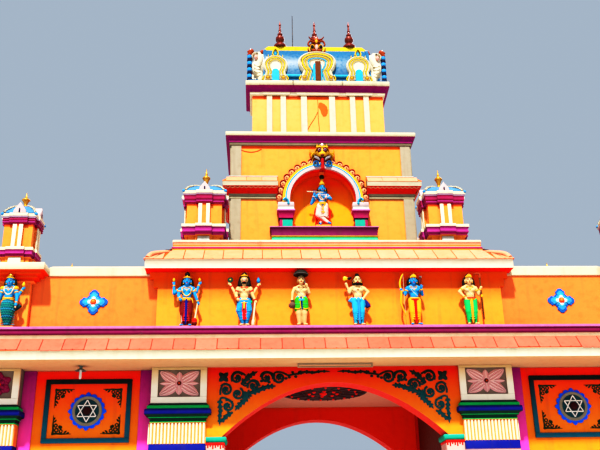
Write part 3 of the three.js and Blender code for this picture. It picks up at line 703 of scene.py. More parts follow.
def flutes(piece, plane, start, end):
    count = round((end - start) / FLUTE)
    for i in range(count):
        u = start + (i + 0.5) * (end - start) / count
        path = [(u, FLUTE_FOOT + (FLUTE_TOP - FLUTE_FOOT) * t) for t in (0, 0.02, 0.06, 0.94, 0.98, 1)]
        piece.add(stroke(path, lambda t: 0.04 * min(1, 0.35 + 9 * min(t, 1 - t)), 0.028, 5), "fascia", plane)


def petal(piece, place, length, width, veins):
    """A carved petal with light veins, its foot at the middle of the flower."""
    swell = lambda t: width * sin(pi * min(t * 0.9 + 0.1, 1)) ** 0.7 + 0.006
    piece.add(stroke([(length * k / 10, 0) for k in range(11)], swell, 0.026, 6), "petal", place)
    for v in range(-veins, veins + 1):
        side = v / (veins + 0.6)
        path = [(length * t, side * width * 0.44 * sin(pi * (0.15 + 0.8 * t))) for t in
                (0.2, 0.35, 0.55, 0.75, 0.95)]
        piece.add(stroke(path, taper(0.034, 0.014), 0.044, 4), "petal_light", place)


def four_way_flower(piece, place):
    """Broad petals on the diagonals of a panel and shorter ones between them."""
    for turn, length, width in ((0, 0.335, 0.085), (pi, 0.335, 0.085), (pi / 2, 0.2, 0.13),
                                (-pi / 2, 0.2, 0.135)):
        petal(piece, place @ spot(0, 0, turn), length, width, 0)
    for sx, sz in ((1, 1), (-1, 1), (-1, -1), (1, -1)):
        petal(piece, place @ spot(0, 0, atan2(sz * 0.2, sx * 0.335)), 0.395, 0.185, 1)
    piece.add(boss(0.044, 0.044, 0.05, 16), "brown", place)
    piece.add(boss(0.02, 0.02, 0.064, 10), "deep_orange", place)


def round_flower(piece, place):
    for i in range(6):
        turned = place @ spot(0, 0, pi / 6 + i * pi / 3)
        for x, y, radius in ((0.085, 0, 0.055), (0.155, 0, 0.07), (0.13, 0.045, 0.045),
                             (0.13, -0.045, 0.045)):
            piece.add(boss(radius, radius * 0.8, 0.04, 12, 3), "turret_magenta", turned @ moved(x, y, 0))
    piece.add(boss(0.05, 0.05, 0.05, 16), "deep_orange", place)
    piece.add(boss(0.02, 0.02, 0.06, 10), "gold", place)


def capital(piece, inner, outer, flower):
    """A framed panel with a flower in it, on the front of a pier."""
    plane = wall(0, WALL + 0.02)
    left, right, low, high = inner + 0.112, outer - 0.112, CAPITAL_LOW + 0.108, 4.527
    piece.add(block(left, right, low, high, -0.01, 0.004), "recess", plane)
    for a, b, c, d in ((inner, outer, high, SOFFIT), (inner, outer, CAPITAL_LOW, low),
                       (inner, left, low, high), (right, outer, low, high)):
        piece.add(block(a, b, c, d, -0.01, 0.035, 0.005), "capital", plane)
    flower(piece, wall(0, WALL + 0.022) @ spot((left + right) / 2, (low + high) / 2))


def inner_pier(piece):
    piece.add(block(PIER_IN, PIER_OUT, -WALL, -WALL + 0.42, 0, SOFFIT), "passage_red")
    piece.sweep(pier_loop(PIER_IN, PIER_OUT, -BAY_FACE, False), PIER_COURSES)
    flutes(piece, wall(0, WALL + 0.042), PIER_IN + 0.004, PIER_OUT - 0.004)
    flutes(piece, wall(1, PIER_OUT), -WALL - 0.03, -BAY_FACE - 0.04)
    capital(piece, PIER_IN, PIER_OUT, four_way_flower)
    back = -WALL + 0.42
    piece.add(block(ARCH_HALF, PIER_IN + 0.01, -WALL, back, 0, 3.31), "red")
    piece.add(block(ARCH_HALF - 0.05, PIER_IN + 0.02, -WALL - 0.012, back + 0.012, 3.08, 3.27, 0.012),
              "rose")
    piece.add(block(ARCH_HALF - 0.056, PIER_IN + 0.02, -WALL - 0.018, back + 0.018, 3.262, 3.312, 0.012),
              "red")
    for i in range(7):
        u = ARCH_HALF - 0.03 + i * 0.042
        drop = 0.03 + 0.02 * sin(i * 2.1)
        piece.add(stroke([(u, 3.27), (u, 3.25 - drop)], 0.03, 0.006, 5), "red", wall(0, WALL + 0.013))
    piece.sweep(around((PIER_IN - ARCH_HALF + 0.02) / 2 + 0.03, 0.21,
                       (PIER_IN + ARCH_HALF + 0.02) / 2 - 0.02, -WALL + 0.21),
                ["teal", (-0.02, 3.31), (0.02, 3.312), (0.034, 3.33), (0.036, 3.375), (0.03, 3.398),
                 (-0.05, 3.4)])


def outer_pier(piece):
    piece.sweep(pier_loop(END_IN, END_OUT, -END_BACK, True), PIER_COURSES)
    flutes(piece, wall(0, WALL + 0.042), END_IN + 0.004, END_OUT + 0.03)
    flutes(piece, wall(1, END_OUT + 0.042), -WALL - 0.03, -END_BACK)
    capital(piece, END_IN, END_OUT, round_flower)
    piece.add(block(END_OUT - 0.02, END_OUT + 0.055, -WALL - 0.02, -END_BACK, CAPITAL_LOW, SOFFIT),
              "capital")


def filigree(piece, place):
    """A lacy corner ornament: two tapering arms, with rings and leaves between them."""
    mirrored = Matrix(((0, 1, 0, 0), (1, 0, 0, 0), (0, 0, 1, 0), (0, 0, 0, 1)))
    for arm in (place, place @ mirrored):
        path = curve([(0.012, 0.004), (-0.06, -0.004), (-0.14, 0.004), (-0.22, 0.004), (-0.31, 0.006)])
        piece.add(stroke(path, lambda t: 0.034 * (1 - t) ** 0.8 + 0.009, 0.016, 5), "leaf", arm)
        ring(piece, "leaf", arm @ spot(-0.135, -0.042), 0.025, 0.022, 0.016, 14)
        for x, z, angle, size in ((-0.19, -0.01, 3.9, 0.06), (-0.235, 0, 3.7, 0.045),
                                  (-0.09, -0.1, 4.2, 0.05)):
            petals(piece, "leaf", arm @ spot(x, z, angle), 1, size, 0.034, 0.016)
    ring(piece, "leaf", place @ spot(-0.06, -0.06), 0.028, 0.026, 0.016, 14)
    ring(piece, "leaf", place @ spot(-0.125, -0.105), 0.021, 0.02, 0.016, 14)


def star_panel(piece, plane):
    """A six-pointed star in a ring with a lobed rim, in a frame with a filigree at each corner."""
    cx, cz = 4.21, 3.876
    frame_of(piece, "frame_teal", plane, 3.48, 4.94, 3.35, 4.42, 0.078, 0.03)
    place = plane @ spot(cx, cz)
    lobes, quarters, count = 16, 4, 128
    rim = []
    for i in range(count):
        angle = 2 * pi * i / count
        swell = 0.034 * abs(cos(lobes / 2 * angle)) ** 0.7
        point = 0.02 * max(0, cos(quarters * angle)) ** 20
        radius = 0.272 + swell + point
        rim.append((radius * cos(angle), radius * sin(angle)))
    piece.add(plate(rim, 0, 0.02, 0.004), "star_blue", place)
    piece.add(plate(circle(0.252, 48), 0.018, 0.032), "olive_ring", place)
    piece.add(plate(circle(0.2, 48), 0.03, 0.04), "dark_teal", place)
    for turn in (0, pi):
        corners = circle(0.184, 3, start=pi / 2 + turn)
        for i in range(3):
            path = [corners[i], corners[(i + 1) % 3]]
            raised = place @ moved(0, 0, 0.04)
            piece.add(stroke(path, 0.018, 0.014, 4, flat=True), "star_white", raised)
    piece.add(boss(0.068, 0.068, 0.05, 20, 4, 2), "maroon", place @ moved(0, 0, 0.03))
    for sx, sz in CORNERS:
        filigree(piece, place @ flipped(sx, sz) @ spot(0.552, 0.368))


def bay(piece):
    piece.add(block(PIER_OUT, END_IN, -BAY_FACE, -BAY_FACE + 0.23, 0, SOFFIT), "bay_orange")
    for low, high in ((PIER_OUT, PIER_OUT + STRIP), (END_IN - STRIP, END_IN)):
        piece.add(block(low, high, -BAY_FACE - 0.03, -BAY_FACE, 0, SOFFIT), "strip")
    star_panel(piece, wall(0, BAY_FACE))


def scroll_leaf(piece, plane, points, width, lobes):
    """A curling leaf with lobes on both sides."""
    path = curve(points)
    swell = lambda t: width * sin(pi * min(0.92 * t + 0.08, 1)) ** 0.6 + 0.006
    piece.add(stroke(path, swell, 0.024, 6), "scroll", plane)
    for i in range(lobes):
        share = (i + 0.6) / (lobes + 0.4)
        k = min(int(share * (len(path) - 1)), len(path) - 2)
        a, b = Vector(path[k]), Vector(path[k + 1])
        heading = atan2(b.y - a.y, b.x - a.x)
        for side in (-1, 1):
            foot = plane @ spot(a.x, a.y, heading + side * 0.95)
            petals(piece, "scroll", foot, 1, width * (1.2 - 0.5 * share), 0.046, 0.022)


def scrollwork(piece, plane):
    """Spirals, leaves and small flowers over one haunch of the arch, drawn for the right side."""
    stem, high = 0.042, 0.024
    spirals = ((1.668, 4.385, 0.105, 2.6, -1.45), (1.855, 4.183, 0.108, 0.6, 1.45),
               (1.656, 4.115, 0.104, 2, 1.4), (1.391, 4.25, 0.1, -0.4, 1.45),
               (1.163, 4.385, 0.112, 3.4, -1.4), (0.943, 4.384, 0.1, 0.6, -1.4),
               (1.823, 3.91, 0.104, 1.2, 1.3))
    for cx, cz, radius, start, turns in spirals:
        piece.add(stroke(spiral(cx, cz, radius, start, turns * 0.85, 0.034), stem, high), "scroll", plane)
        petals(piece, "scroll", plane @ spot(cx, cz), 5, 0.052, 0.036, 0.026)
    stems = ([(1.753, 4.324), (1.762, 4.401), (1.727, 4.468), (1.66, 4.492), (1.58, 4.465), (1.526, 4.43)],
             [(1.95, 4.1), (1.95, 4.184), (1.91, 4.27), (1.855, 4.287), (1.78, 4.25)],
             [(1.591, 4.285), (1.52, 4.25), (1.46, 4.3), (1.4, 4.345), (1.32, 4.32), (1.28, 4.24)],
             [(1.268, 4.397), (1.235, 4.462), (1.163, 4.486), (1.08, 4.465), (1.04, 4.43)],
             [(1.04, 4.43), (1.01, 4.475), (0.94, 4.482), (0.86, 4.46), (0.789, 4.425), (0.7, 4.44),
              (0.6, 4.45)],
             [(1.957, 4.033), (1.9, 4.05), (1.81, 4.015), (1.74, 3.97)],
             [(0.6, 4.45), (0.56, 4.47), (0.52, 4.46)])
    for path in stems:
        piece.draw(path, stem * 0.85, high, "scroll", plane)
    scroll_leaf(piece, plane, [(0.62, 4.455), (0.5, 4.48), (0.36, 4.468), (0.22, 4.488), (0.06, 4.484)],
                0.036, 5)
    petals(piece, "scroll", plane @ spot(1.9, 4.402), 4, 0.105, 0.085, 0.026, pi / 4)
    scroll_leaf(piece, plane, [(1.6, 4.28), (1.506, 4.36), (1.44, 4.43), (1.316, 4.493)], 0.066, 4)
    scroll_leaf(piece, plane, [(1.543, 4.15), (1.505, 4.08), (1.542, 4), (1.62, 3.93), (1.7, 3.83)], 0.072,
                6)
    scroll_leaf(piece, plane, [(1.52, 4.09), (1.4, 4.14), (1.26, 4.19), (1.13, 4.232), (1, 4.24)], 0.07, 6)
    scroll_leaf(piece, plane, [(1.95, 4.03), (1.955, 3.93), (1.943, 3.83), (1.956, 3.72), (1.948, 3.58)],
                0.05, 5)
    scroll_leaf(piece, plane, [(1.735, 3.8), (1.82, 3.76), (1.885, 3.69), (1.94, 3.64)], 0.055, 3)
    for x, z in ((1.478, 4.43), (1.249, 4.33), (0.828, 4.37), (0.77, 4.39), (0.712, 4.475), (0.66, 4.4),
                 (0.596, 4.475), (1.12, 4.31), (1.02, 4.335)):
        piece.add(boss(0.03, 0.024, 0.024, 8, 3), "scroll", plane @ spot(x, z))


def ground_storey():
    for node in ("front_arch_wall", "rear_arch_wall"):
        dress(node, "arch")
    for label, side in SIDES:
        # The passage side walls get the dark brown-red finish as painted shade.
        dress(f"{label}_passage_wall", "brown")
        for name, make, node in (("inner_pier", inner_pier, "inner_pier"),
                                 ("outer_pier", outer_pier, "outer_pier"), ("star_bay", bay, "bay_wall")):
            slot = "orange_plaster" if name == "star_bay" else "cream_plaster"
            piece = Piece(f"{label}_{name}", slot, [f"front_{label}_{node}"])
            piece.place = quarter(side, -1)
            make(piece)
            piece.build()
        rear = Piece(f"{label}_rear_and_end", "orange_plaster", [f"rear_and_{label}_end_wall"])
        rear.place = quarter(side, 1)
        for make in (inner_pier, outer_pier, bay):
            make(rear)
        rear.add(block(END_OUT - 0.23, END_OUT, -END_BACK, END_BACK, 0, SOFFIT), "orange")
        plane = wall(1, END_OUT)
        frame_of(rear, "frame_teal", plane, -1.25, 1.25, 3.35, 4.42, 0.07, 0.03)
        for u in (-END_BACK + 0.02, END_BACK - 0.02 - STRIP):
            rear.add(block(u, u + STRIP, 0, SOFFIT, -0.01, 0.03), "strip", plane)
        rear.build()
        scrolls = Piece(f"{label}_spandrel_scrollwork", "orange_plaster")
        for facing in (-1, 1):
            scrolls.place = quarter(side, facing)
            scrollwork(scrolls, wall(0, WALL))
        scrolls.build()


# Main cornice, its tiles and the ledge

def slope(turn, out, z, run, rise):
    """A drawing plane on a sloping roof: x along the eave, y up the slope."""
    length = hypot(run, rise)
    plane = Matrix(((1, 0, 0, 0), (0, run / length, -rise / length, -out),
                    (0, rise / length, run / length, z), (0, 0, 0, 1)))
    return turned_round(turn * pi / 2) @ plane


def tile_side(piece, place, low_half, high_half, length, pitch, finish, joint):
    """One row of wide flat tiles with notched lower edges, cut along the hips at both ends."""
    corners = ((-low_half, 0), (low_half, 0), (high_half, length), (-high_half, length))
    piece.add(([(x, y, -TILE_THICK) for x, y in corners], [(0, 1, 2, 3)]), joint, place)
    count = round(2 * low_half / pitch)
    width = 2 * low_half / count
    gap, notch = 0.006, 0.016
    for i in range(count):
        a, b = -low_half + i * width + gap, -low_half + (i + 1) * width - gap
        lift = LOOSE.uniform(0, 0.004)
        slip = LOOSE.uniform(-0.003, 0.003)
        middle = (a + b) / 2
        top_a, top_b = max(a, -high_half), min(b, high_half)
        outline = [(a, notch * 1.4), (a + notch, 0.002), (middle - notch, 0.002), (middle, notch * 1.4),
                   (middle + notch, 0.002), (b - notch, 0.002), (b, notch * 1.4)]
        if top_b < b:
            outline.append((b, 0.03))
        outline += [(top_b, length), (top_a, length)]
        if top_a > a:
            outline.append((a, 0.03))
        turned = place @ moved(0, slip + 0.002, 0) @ turned_round(LOOSE.uniform(-0.004, 0.004))
        piece.add(plate(outline, -TILE_THICK, -lift, 0.004), finish, turned, tone=LOOSE.random() ** 2)
        ridge = [(middle - 0.001, notch * 1.6), (middle - 0.001, length * 0.35)]
        piece.add(stroke(ridge, lambda t: 0.012 * (1 - t) + 0.002, 0.004), joint,
                  turned @ moved(0, 0, -lift))


def hip(piece, low, high, radius, finish):
    """A round tile along the corner of a roof."""
    for sx, sy in CORNERS:
        foot, head = (sx * low[0], sy * low[1], low[2]), (sx * high[0], sy * high[1], high[2])
        piece.add(limb(foot, head, radius, radius * 0.8), finish)


def tiled_roof(piece, low, high, pitch, finish, joint):
    rise = high[2] - low[2]
    for turn in range(4):
        along, out = (0, 1) if turn % 2 == 0 else (1, 0)
        run = low[out] - high[out]
        tile_side(piece, slope(turn, low[out], low[2], run, rise), low[along], high[along],
                  hypot(run, rise), pitch, finish, joint)


def main_cornice():
    slab = Piece("main_cornice", "cream_plaster", ["main_cornice_slab"])
    hx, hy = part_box("main_cornice_slab")[1].x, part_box("main_cornice_slab")[1].y
    loop = around(hx, hy)
    groove = [(-0.085, SOFFIT), (-0.085, SOFFIT + 0.014), (-0.068, SOFFIT + 0.014), (-0.068, SOFFIT)]
    slab.sweep(loop, ["soffit", (-0.12, SOFFIT), *groove, (0, SOFFIT), "fascia", (0, SOFFIT),
                      (0.002, SLAB_TOP - 0.014), "deep_orange", (0.012, SLAB_TOP - 0.012),
                      (0.012, SLAB_TOP), "terrace", (-0.1, SLAB_TOP)], 0.008)
    passage = rectangle(-2.25, 2.25, -1.94, 1.94)
    slab.collar(passage, loop(-0.12), SOFFIT, "soffit", up=False)
    slab.cap(passage, SOFFIT, "ceiling", up=False)
    slab.cap(loop(-0.1), SLAB_TOP, "terrace")
    slab.build()

    tiles = Piece("lower_tiles", "red_tile", ["lower_tile_roof"])
    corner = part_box("lower_tile_roof")[1]
    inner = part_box("ledge_course")[1]
    low = (corner.x - 0.01, corner.y - 0.01, SLAB_TOP)
    high = (inner.x - 0.05, inner.y - 0.05, corner.z)
    tiled_roof(tiles, low, high, 0.363, "red_tile", "mortar")
    hip(tiles, (low[0] - 0.03, low[1] - 0.03, low[2] + 0.01),
        (high[0] - 0.01, high[1] - 0.01, high[2] + 0.005), 0.026, "red_tile")
    tiles.build()

    ledge = Piece("ledge_mouldings", "magenta_plaster", ["ledge_course"])
    ring_loop = around(inner.x - 0.05, inner.y - 0.05)
    # The pink on the top of the magenta moulding is a painted highlight.
    ledge.sweep(ring_loop, [
        "cream", (-0.02, 4.94), (0.012, 4.955), (0.02, 4.97), (0.02, 5.03),
        "ledge_magenta", (0.026, 5.032), *arc((0.03, 5.034), (0.036, 5.09), 0.01, 4), (0.03, 5.095),
        *arc((0.034, 5.112), (0.046, 5.13), 0.004, 3),
        "pink", (0.048, 5.132), (0.05, 5.14), (0.05, 5.175), "orange", (-0.15, 5.175)], 0.004)
    hole = rectangle(-5.3, 5.3, -1.65, 1.65)
    ledge.collar(hole, ring_loop(-0.15), LEDGE_TOP, "orange")
    ledge.add(rows_shape([[(x, y, z) for x, y in hole[::-1]] for z in (SLAB_TOP, LEDGE_TOP)]), "orange")
    ledge.build()


def ceiling_rose():
    """A dark lotus in the passage ceiling, with rings of bright red dots."""
    rose = Piece("ceiling_lotus", "red_plaster", ["passage_medallion"])
    centre = moved(0, 0.1, SOFFIT) @ flipped(z=-1)
    rose.add(plate(circle(0.885, 64), -0.01, 0.014), "maroon", centre)
    for count, start, reach, width, dot in ((16, 0.42, 0.42, 0.15, 0.032), (8, 0.1, 0.3, 0.2, 0.045)):
        for i in range(count):
            turned = centre @ turned_round(2 * pi * i / count)
            path = [(start + reach * k / 9, 0) for k in range(10)]
            swell = lambda t: width * sin(pi * min(0.7 * t + 0.2, 1)) ** 0.8
            rose.add(stroke(path, swell, 0.036, 6), "maroon", turned)
            rose.add(boss(dot, dot, 0.05, 10, 3), "red", turned @ moved(start + reach * 0.6, 0, 0.01))
            between = centre @ turned_round(2 * pi * (i + 0.5) / count)
            rose.add(boss(dot * 0.6, dot * 0.6, 0.03, 8, 3), "brown",
                     between @ moved(start + reach * 0.9, 0, 0.01))
    rose.add(lathe([(0.09, 0), (0.08, 0.035), (0.05, 0.06), (0.02, 0.07)], 24), "red", centre)
    rose.build()


# Parapet, end bays and small turrets

def four_petal_flower(piece, plane, radius):
    """Four round petals with scallops between them, shaded from dark blue tips to a pale middle."""
    layers = ((1, 0.02, "flower_blue"), (0.8, 0.03, "sky"), (0.6, 0.038, "cyan"), (0.46, 0.044, "pale_cyan"))
    for scale, high, finish in layers:
        for i in range(4):
            reach = radius * scale * (1.08 if i % 2 == 0 else 1)
            turned = plane @ spot(0, 0, pi / 2 * i)
            for along, half in ((0.76, 0.068), (0.52, 0.088), (0.28, 0.085)):
                lobe = turned @ moved(radius * scale * along if along < 0.7 else reach - half * scale, 0, 0)
                piece.add(boss(half * scale, half * scale, high, 16, 3, 3), finish, lobe)
            for side in (-1, 1):
                lobe = turned @ moved(reach * 0.66, side * 0.062 * scale, 0)
                piece.add(boss(0.034 * scale, 0.03 * scale, high, 12, 3, 3), finish, lobe)
            lobe = plane @ spot(0, 0, pi / 2 * i + 0.785) @ moved(radius * scale * 0.5, 0, 0)
            piece.add(boss(0.036 * scale, 0.036 * scale, high, 12, 3, 3), finish, lobe)
    piece.add(boss(0.078, 0.078, 0.062, 20), "deep_orange", plane)
    piece.add(boss(0.05, 0.05, 0.07, 16), "orange", plane)
    piece.add(boss(0.016, 0.016, 0.076, 10), "red", plane)


def coping(piece, x0, x1, y0, y1):
    piece.add(block(x0, x1, y0, y1, COPING_TOP - 0.195, COPING_TOP - 0.02, 0.012), "cream")
    piece.add(block(x0 + 0.02, x1 - 0.02, y0 + 0.02, y1 - 0.02, COPING_TOP - 0.06, COPING_TOP, 0.02),
              "cream")


def wing_wall(piece):
    piece.add(block(STOREY_HALF, END_IN, -2.25, -2.05, LEDGE_TOP, 6.27), "wing_orange")
    coping(piece, 3.32, END_IN - 0.27, -2.28, -2.02)
    piece.add(block(STOREY_HALF, 3.33, -2.28, -2.02, 6.255, UPPER_LOW), "cream")
    four_petal_flower(piece, wall(0, 2.25, 4.23, 5.777), 0.235)


END_BAY_Y = -2.025


def end_bay(piece):
    loop = around(0.335, 0.335, 5.665, END_BAY_Y)
    piece.sweep(loop, ["orange", (0, LEDGE_TOP), (0, 6.11), "deep_orange", (0.06, 6.112), (0.06, 6.16),
                       (0.13, 6.162), (0.13, 6.21), (0.2, 6.212), (0.2, 6.26), (0.262, 6.262), "cream",
                       (0.27, 6.27), (0.27, 6.4), (0.25, 6.41), (-0.1, 6.412)])
    piece.cap(loop(-0.1), 6.412, "cream")


def pot(base, height, radius):
    """A bell-shaped pot on a disc, with a short neck and a spike."""
    outline = [(0.9, 0), (0.95, 0.03), (0.8, 0.07), (0.45, 0.12), (0.36, 0.18), (0.42, 0.26), (0.56, 0.34),
               (0.66, 0.4), (0.78, 0.45), (1, 0.5), (1, 0.53), (0.82, 0.58), (0.48, 0.63), (0.3, 0.66),
               (0.26, 0.69), (0.32, 0.73), (0.24, 0.78), (0.14, 0.86), (0.06, 1)]
    return lathe([(r * radius, base + z * height) for r, z in outline], 20)


def turret(piece, cx, cy, levels, bay_half, proud, pillar, finial):
    """A small shrine: mouldings, a body with pilasters, a cap, a curved roof with four gables, and a pot.
    A pillar is how far off the middle each pilaster stands, and its half width."""
    (base, low, slab, body, cove, cap, eave, head) = levels
    loop = crossed(cx, cy, bay_half, proud)
    round_at = low[2] + 0.62 * (low[3] - low[2])
    mid = (cove[2] + cove[3]) / 2
    piece.sweep(loop, ["orange", (base[0], base[2]), (base[0], base[3]), "turret_magenta",
                       *arc((low[0], low[2]), (low[0] + 0.01, low[2] + 0.045), 0.006, 2), "violet",
                       *arc((low[0] + 0.01, low[2] + 0.048), (low[1] - 0.004, round_at), 0.02, 6),
                       (low[1], low[3] - 0.004), "fascia", (slab[0], slab[2]), (slab[0], slab[3]), "orange",
                       (body[0], body[2])], 0.004)
    # The deep orange band at the top of the body is a painted shadow under the cove.
    piece.sweep(crossed(cx, cy, pillar[0] + pillar[1], proud), [
        "orange", (body[0], body[2]), (body[0], body[3] - 0.05), "deep_orange", (body[0], body[3] - 0.048),
        (body[0], body[3])])
    piece.sweep(loop, ["turret_magenta", (body[0], cove[2]), (cove[0] + 0.012, cove[2] + 0.02), "violet",
                       *arc((cove[0] + 0.02, cove[2] + 0.022), (cove[0] + 0.022, cove[2] + 0.05), 0.006, 3),
                       "turret_magenta",
                       *arc((cove[0] + 0.012, cove[2] + 0.052), (cove[1] - 0.012, mid + 0.03), 0.014, 5),
                       (cove[1] - 0.006, cove[3] - 0.02), "lilac",
                       (cove[1] + 0.002, cove[3] - 0.018), (cove[1] + 0.004, cove[3] + 0.006), "fascia",
                       (cap[0], cap[2] + 0.008), (cap[0], cap[3] - 0.004), "navy",
                       (eave[0] - 0.01, cap[3])], 0.004)
    plain = around(0, 0, cx, cy)
    piece.sweep(plain, ["navy", (eave[0] - 0.02, eave[2] - 0.01), (eave[0] - 0.01, eave[2] + 0.016),
                        "roof_blue", *arc((eave[0], eave[2] + 0.018), (eave[1], eave[3]), 0.012, 3),
                        *arc((head[0], head[2]), (head[1], head[3]), 0.016, 5), (0.03, head[3] + 0.01)])
    for turn in range(4):
        face = moved(cx, cy, 0) @ wall(turn)
        outline = [(-0.125, base[2] + 0.01), (0.125, base[2] + 0.01), (0.11, base[3] - 0.01),
                   (-0.11, base[3] - 0.01)]
        piece.add(plate(outline, 0, 0.03), "white", face @ moved(0, 0, base[0] + proud - 0.005))
        for u in (-pillar[0], pillar[0]):
            piece.add(block(u - pillar[1], u + pillar[1], body[2], body[3] - 0.012, -0.01, 0.018, 0.005),
                      "fascia", face @ moved(0, 0, body[0] + proud))
        small_gable(piece, face @ moved(0, eave[2], eave[0] - 0.01), (head[3] - eave[2]) * 0.93)
        for side in (-1, 1):
            path = curve([(side * eave[0], eave[2] + 0.03, eave[0]),
                          (side * eave[1] * 1.02, eave[3] + 0.012, eave[1] * 1.02),
                          (side * (eave[1] + head[1]) / 2, (eave[3] + head[3]) / 2 + 0.02,
                           (eave[1] + head[1]) / 2), (side * head[1], head[3], head[1])], 4)
            piece.add(tube(path, 0.024, 6), "fascia", face)
        piece.add(ball(0.03, 0.03, 0.034), "sky", face @ moved(cap[0] - 0.01, cap[3] - 0.01, cap[0] - 0.01))
    piece.add(pot(head[3], finial, 0.078), "brass", moved(cx, cy, 0))


def small_gable(piece, place, height):
    """A pointed gable with a dark slit."""
    half = height * 0.54
    outline = [(-half, 0), (half, 0), (half * 0.92, height * 0.3), (half * 0.5, height * 0.66),
               (half * 0.18, height * 0.86), (0, height * 1.04), (-half * 0.18, height * 0.86),
               (-half * 0.5, height * 0.66), (-half * 0.92, height * 0.3)]
    piece.add(plate(outline, -0.08, 0.05, 0.012), "pale", place)
    slit = [(-0.014, 0.01), (0.014, 0.01), (0.013, height * 0.4), (0, height * 0.5), (-0.013, height * 0.4)]
    piece.add(plate(slit, 0.04, 0.058, 0.003), "navy", place)
    for side in (-1, 1):
        line = [(half * 0.72 * side, height * 0.05), (half * 0.74 * side, height * 0.28),
                (half * 0.36 * side, height * 0.62)]
        piece.add(stroke(line, 0.012, 0.058, 4), "rose", place)


SMALL_TURRET = [(0.237, 0.237, 6.41, 6.61), (0.273, 0.3, 6.61, 6.736), (0.314, 0.314, 6.736, 6.796),
                (0.258, 0.258, 6.796, 7.256), (0.268, 0.3, 7.256, 7.384), (0.314, 0.314, 7.384, 7.456),
                (0.285, 0.23, 7.456, 7.56), (0.23, 0.085, 7.56, 7.69)]
BIG_TURRET = [(0.3, 0.3, 7, 7.21), (0.37, 0.4, 7.21, 7.372), (0.42, 0.42, 7.372, 7.432),
              (0.336, 0.336, 7.432, 7.88), (0.35, 0.395, 7.88, 8.056), (0.412, 0.412, 8.056, 8.136),
              (0.37, 0.3, 8.136, 8.24), (0.3, 0.11, 8.24, 8.35)]


def small_turret(piece):
    turret(piece, 5.692, END_BAY_Y, SMALL_TURRET, 0.165, 0.035, (0.056, 0.036), 0.31)


def big_turret(piece):
    turret(piece, 2.35, -1.48, BIG_TURRET, 0.155, 0.045, (0.075, 0.035), 0.434)


def parapets():
    for label, side in SIDES:
        for name, make, node in (("wing_wall", wing_wall, "wing_wall"), ("corner_bay", end_bay, "end_bay"),
                                 ("corner_turret", small_turret, "small_turret")):
            piece = Piece(f"{label}_{name}", "orange_plaster", [f"front_{label}_{node}"])
            piece.place = quarter(side, -1)
            make(piece)
            piece.build()
        rear = Piece(f"{label}_rear_terrace_parapet", "orange_plaster", [f"{label}_rear_parapet"])
        rear.place = quarter(side, 1)
        for make in (wing_wall, end_bay, small_turret):
            make(rear)
        rear.add(block(END_OUT - 0.23, END_OUT, -END_BACK, END_BACK, LEDGE_TOP, 6.27), "wing_orange")
        coping(rear, END_OUT - 0.26, END_OUT + 0.03, -1.42, 1.42)
        four_petal_flower(rear, wall(1, END_OUT, 0, 5.72), 0.235)
        rear.build()


# Figure storey's cornice and the platform on it

def upper_cornice():
    dress("figure_storey_walls", "figure_wall")
    slab = Piece("upper_cornice", "cream_plaster", ["upper_cornice_slab"])
    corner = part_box("upper_cornice_slab")[1]
    loop = around(corner.x, corner.y)
    slab.sweep(loop, ["red", (-0.24, UPPER_LOW), (0, UPPER_LOW), "fascia", (0, UPPER_LOW),
                      (0.003, UPPER_TOP - 0.012), "deep_orange", (0.012, UPPER_TOP - 0.01),
                      (0.012, UPPER_TOP), (-0.2, UPPER_TOP)])
    slab.cap(loop(-0.24), UPPER_LOW, "red", up=False)
    slab.cap(loop(-0.2), UPPER_TOP, "cream")
    slab.build()

    tiles = Piece("upper_tiles", "peach_tile", ["upper_tile_roof"])
    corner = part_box("upper_tile_roof")[1]
    low = (corner.x, corner.y, UPPER_TOP)
    high = (2.9, 2.18, corner.z)
    tiled_roof(tiles, low, high, 0.36, "peach_tile", "deep_orange")
    ridge = [(low[0] - 0.07, low[1] - 0.07, low[2] + 0.05), (low[0] - 0.15, low[1] - 0.15, low[2] + 0.16),
             (high[0] + 0.06, high[1] + 0.06, high[2] - 0.05),
             (high[0] - 0.02, high[1] - 0.02, high[2] - 0.01)]
    for sx, sy in CORNERS:
        path = curve([(sx * x, sy * y, z - 0.02) for x, y, z in ridge], 4)
        tiles.add(tube(path, taper(0.052, 0.03), 10), "peach_tile")
    tiles.build()

    platform = Piece("platform_courses", "cream_plaster", ["tower_platform"])
    loop = around(2.88, 2.16)
    # The pink line above the magenta is a painted highlight.
    platform.sweep(loop, [
        "gold", (0, 6.76), (0.02, 6.785), (0.02, 6.815),
        "magenta", (0.024, 6.818), (0.024, 6.848), "pink", (0.022, 6.85), (0.018, 6.858),
        "orange", (0.004, 6.86), (0.004, 6.895),
        "peach_tile", (0.008, 6.897), (0.008, 6.926),
        "red", (0.002, 6.928), (0.002, 6.938),
        "cream", (0.012, 6.94), (0.012, 6.99), (0, 7), "terrace", (-0.1, 7)], 0.004)
    platform.cap(loop(-0.1), PLATFORM_TOP, "terrace")
    platform.build()
    for row, facing in (("front", -1), ("rear", 1)):
        for label, side in SIDES:
            piece = Piece(f"{row}_{label}_shrine", "orange_plaster", [f"{row}_{label}_turret"])
            piece.place = quarter(side, facing)
            big_turret(piece)
            piece.build()


# Tower with its niche

def partial_loop(gap):
    """The tower's plan with the middle of the front left open."""
    def loop(out):
        x, y = TOWER_X + out, TOWER_Y + out
        return [(gap, -y), (x, -y), (x, y), (-x, y), (-x, -y), (-gap, -y)]
    return loop


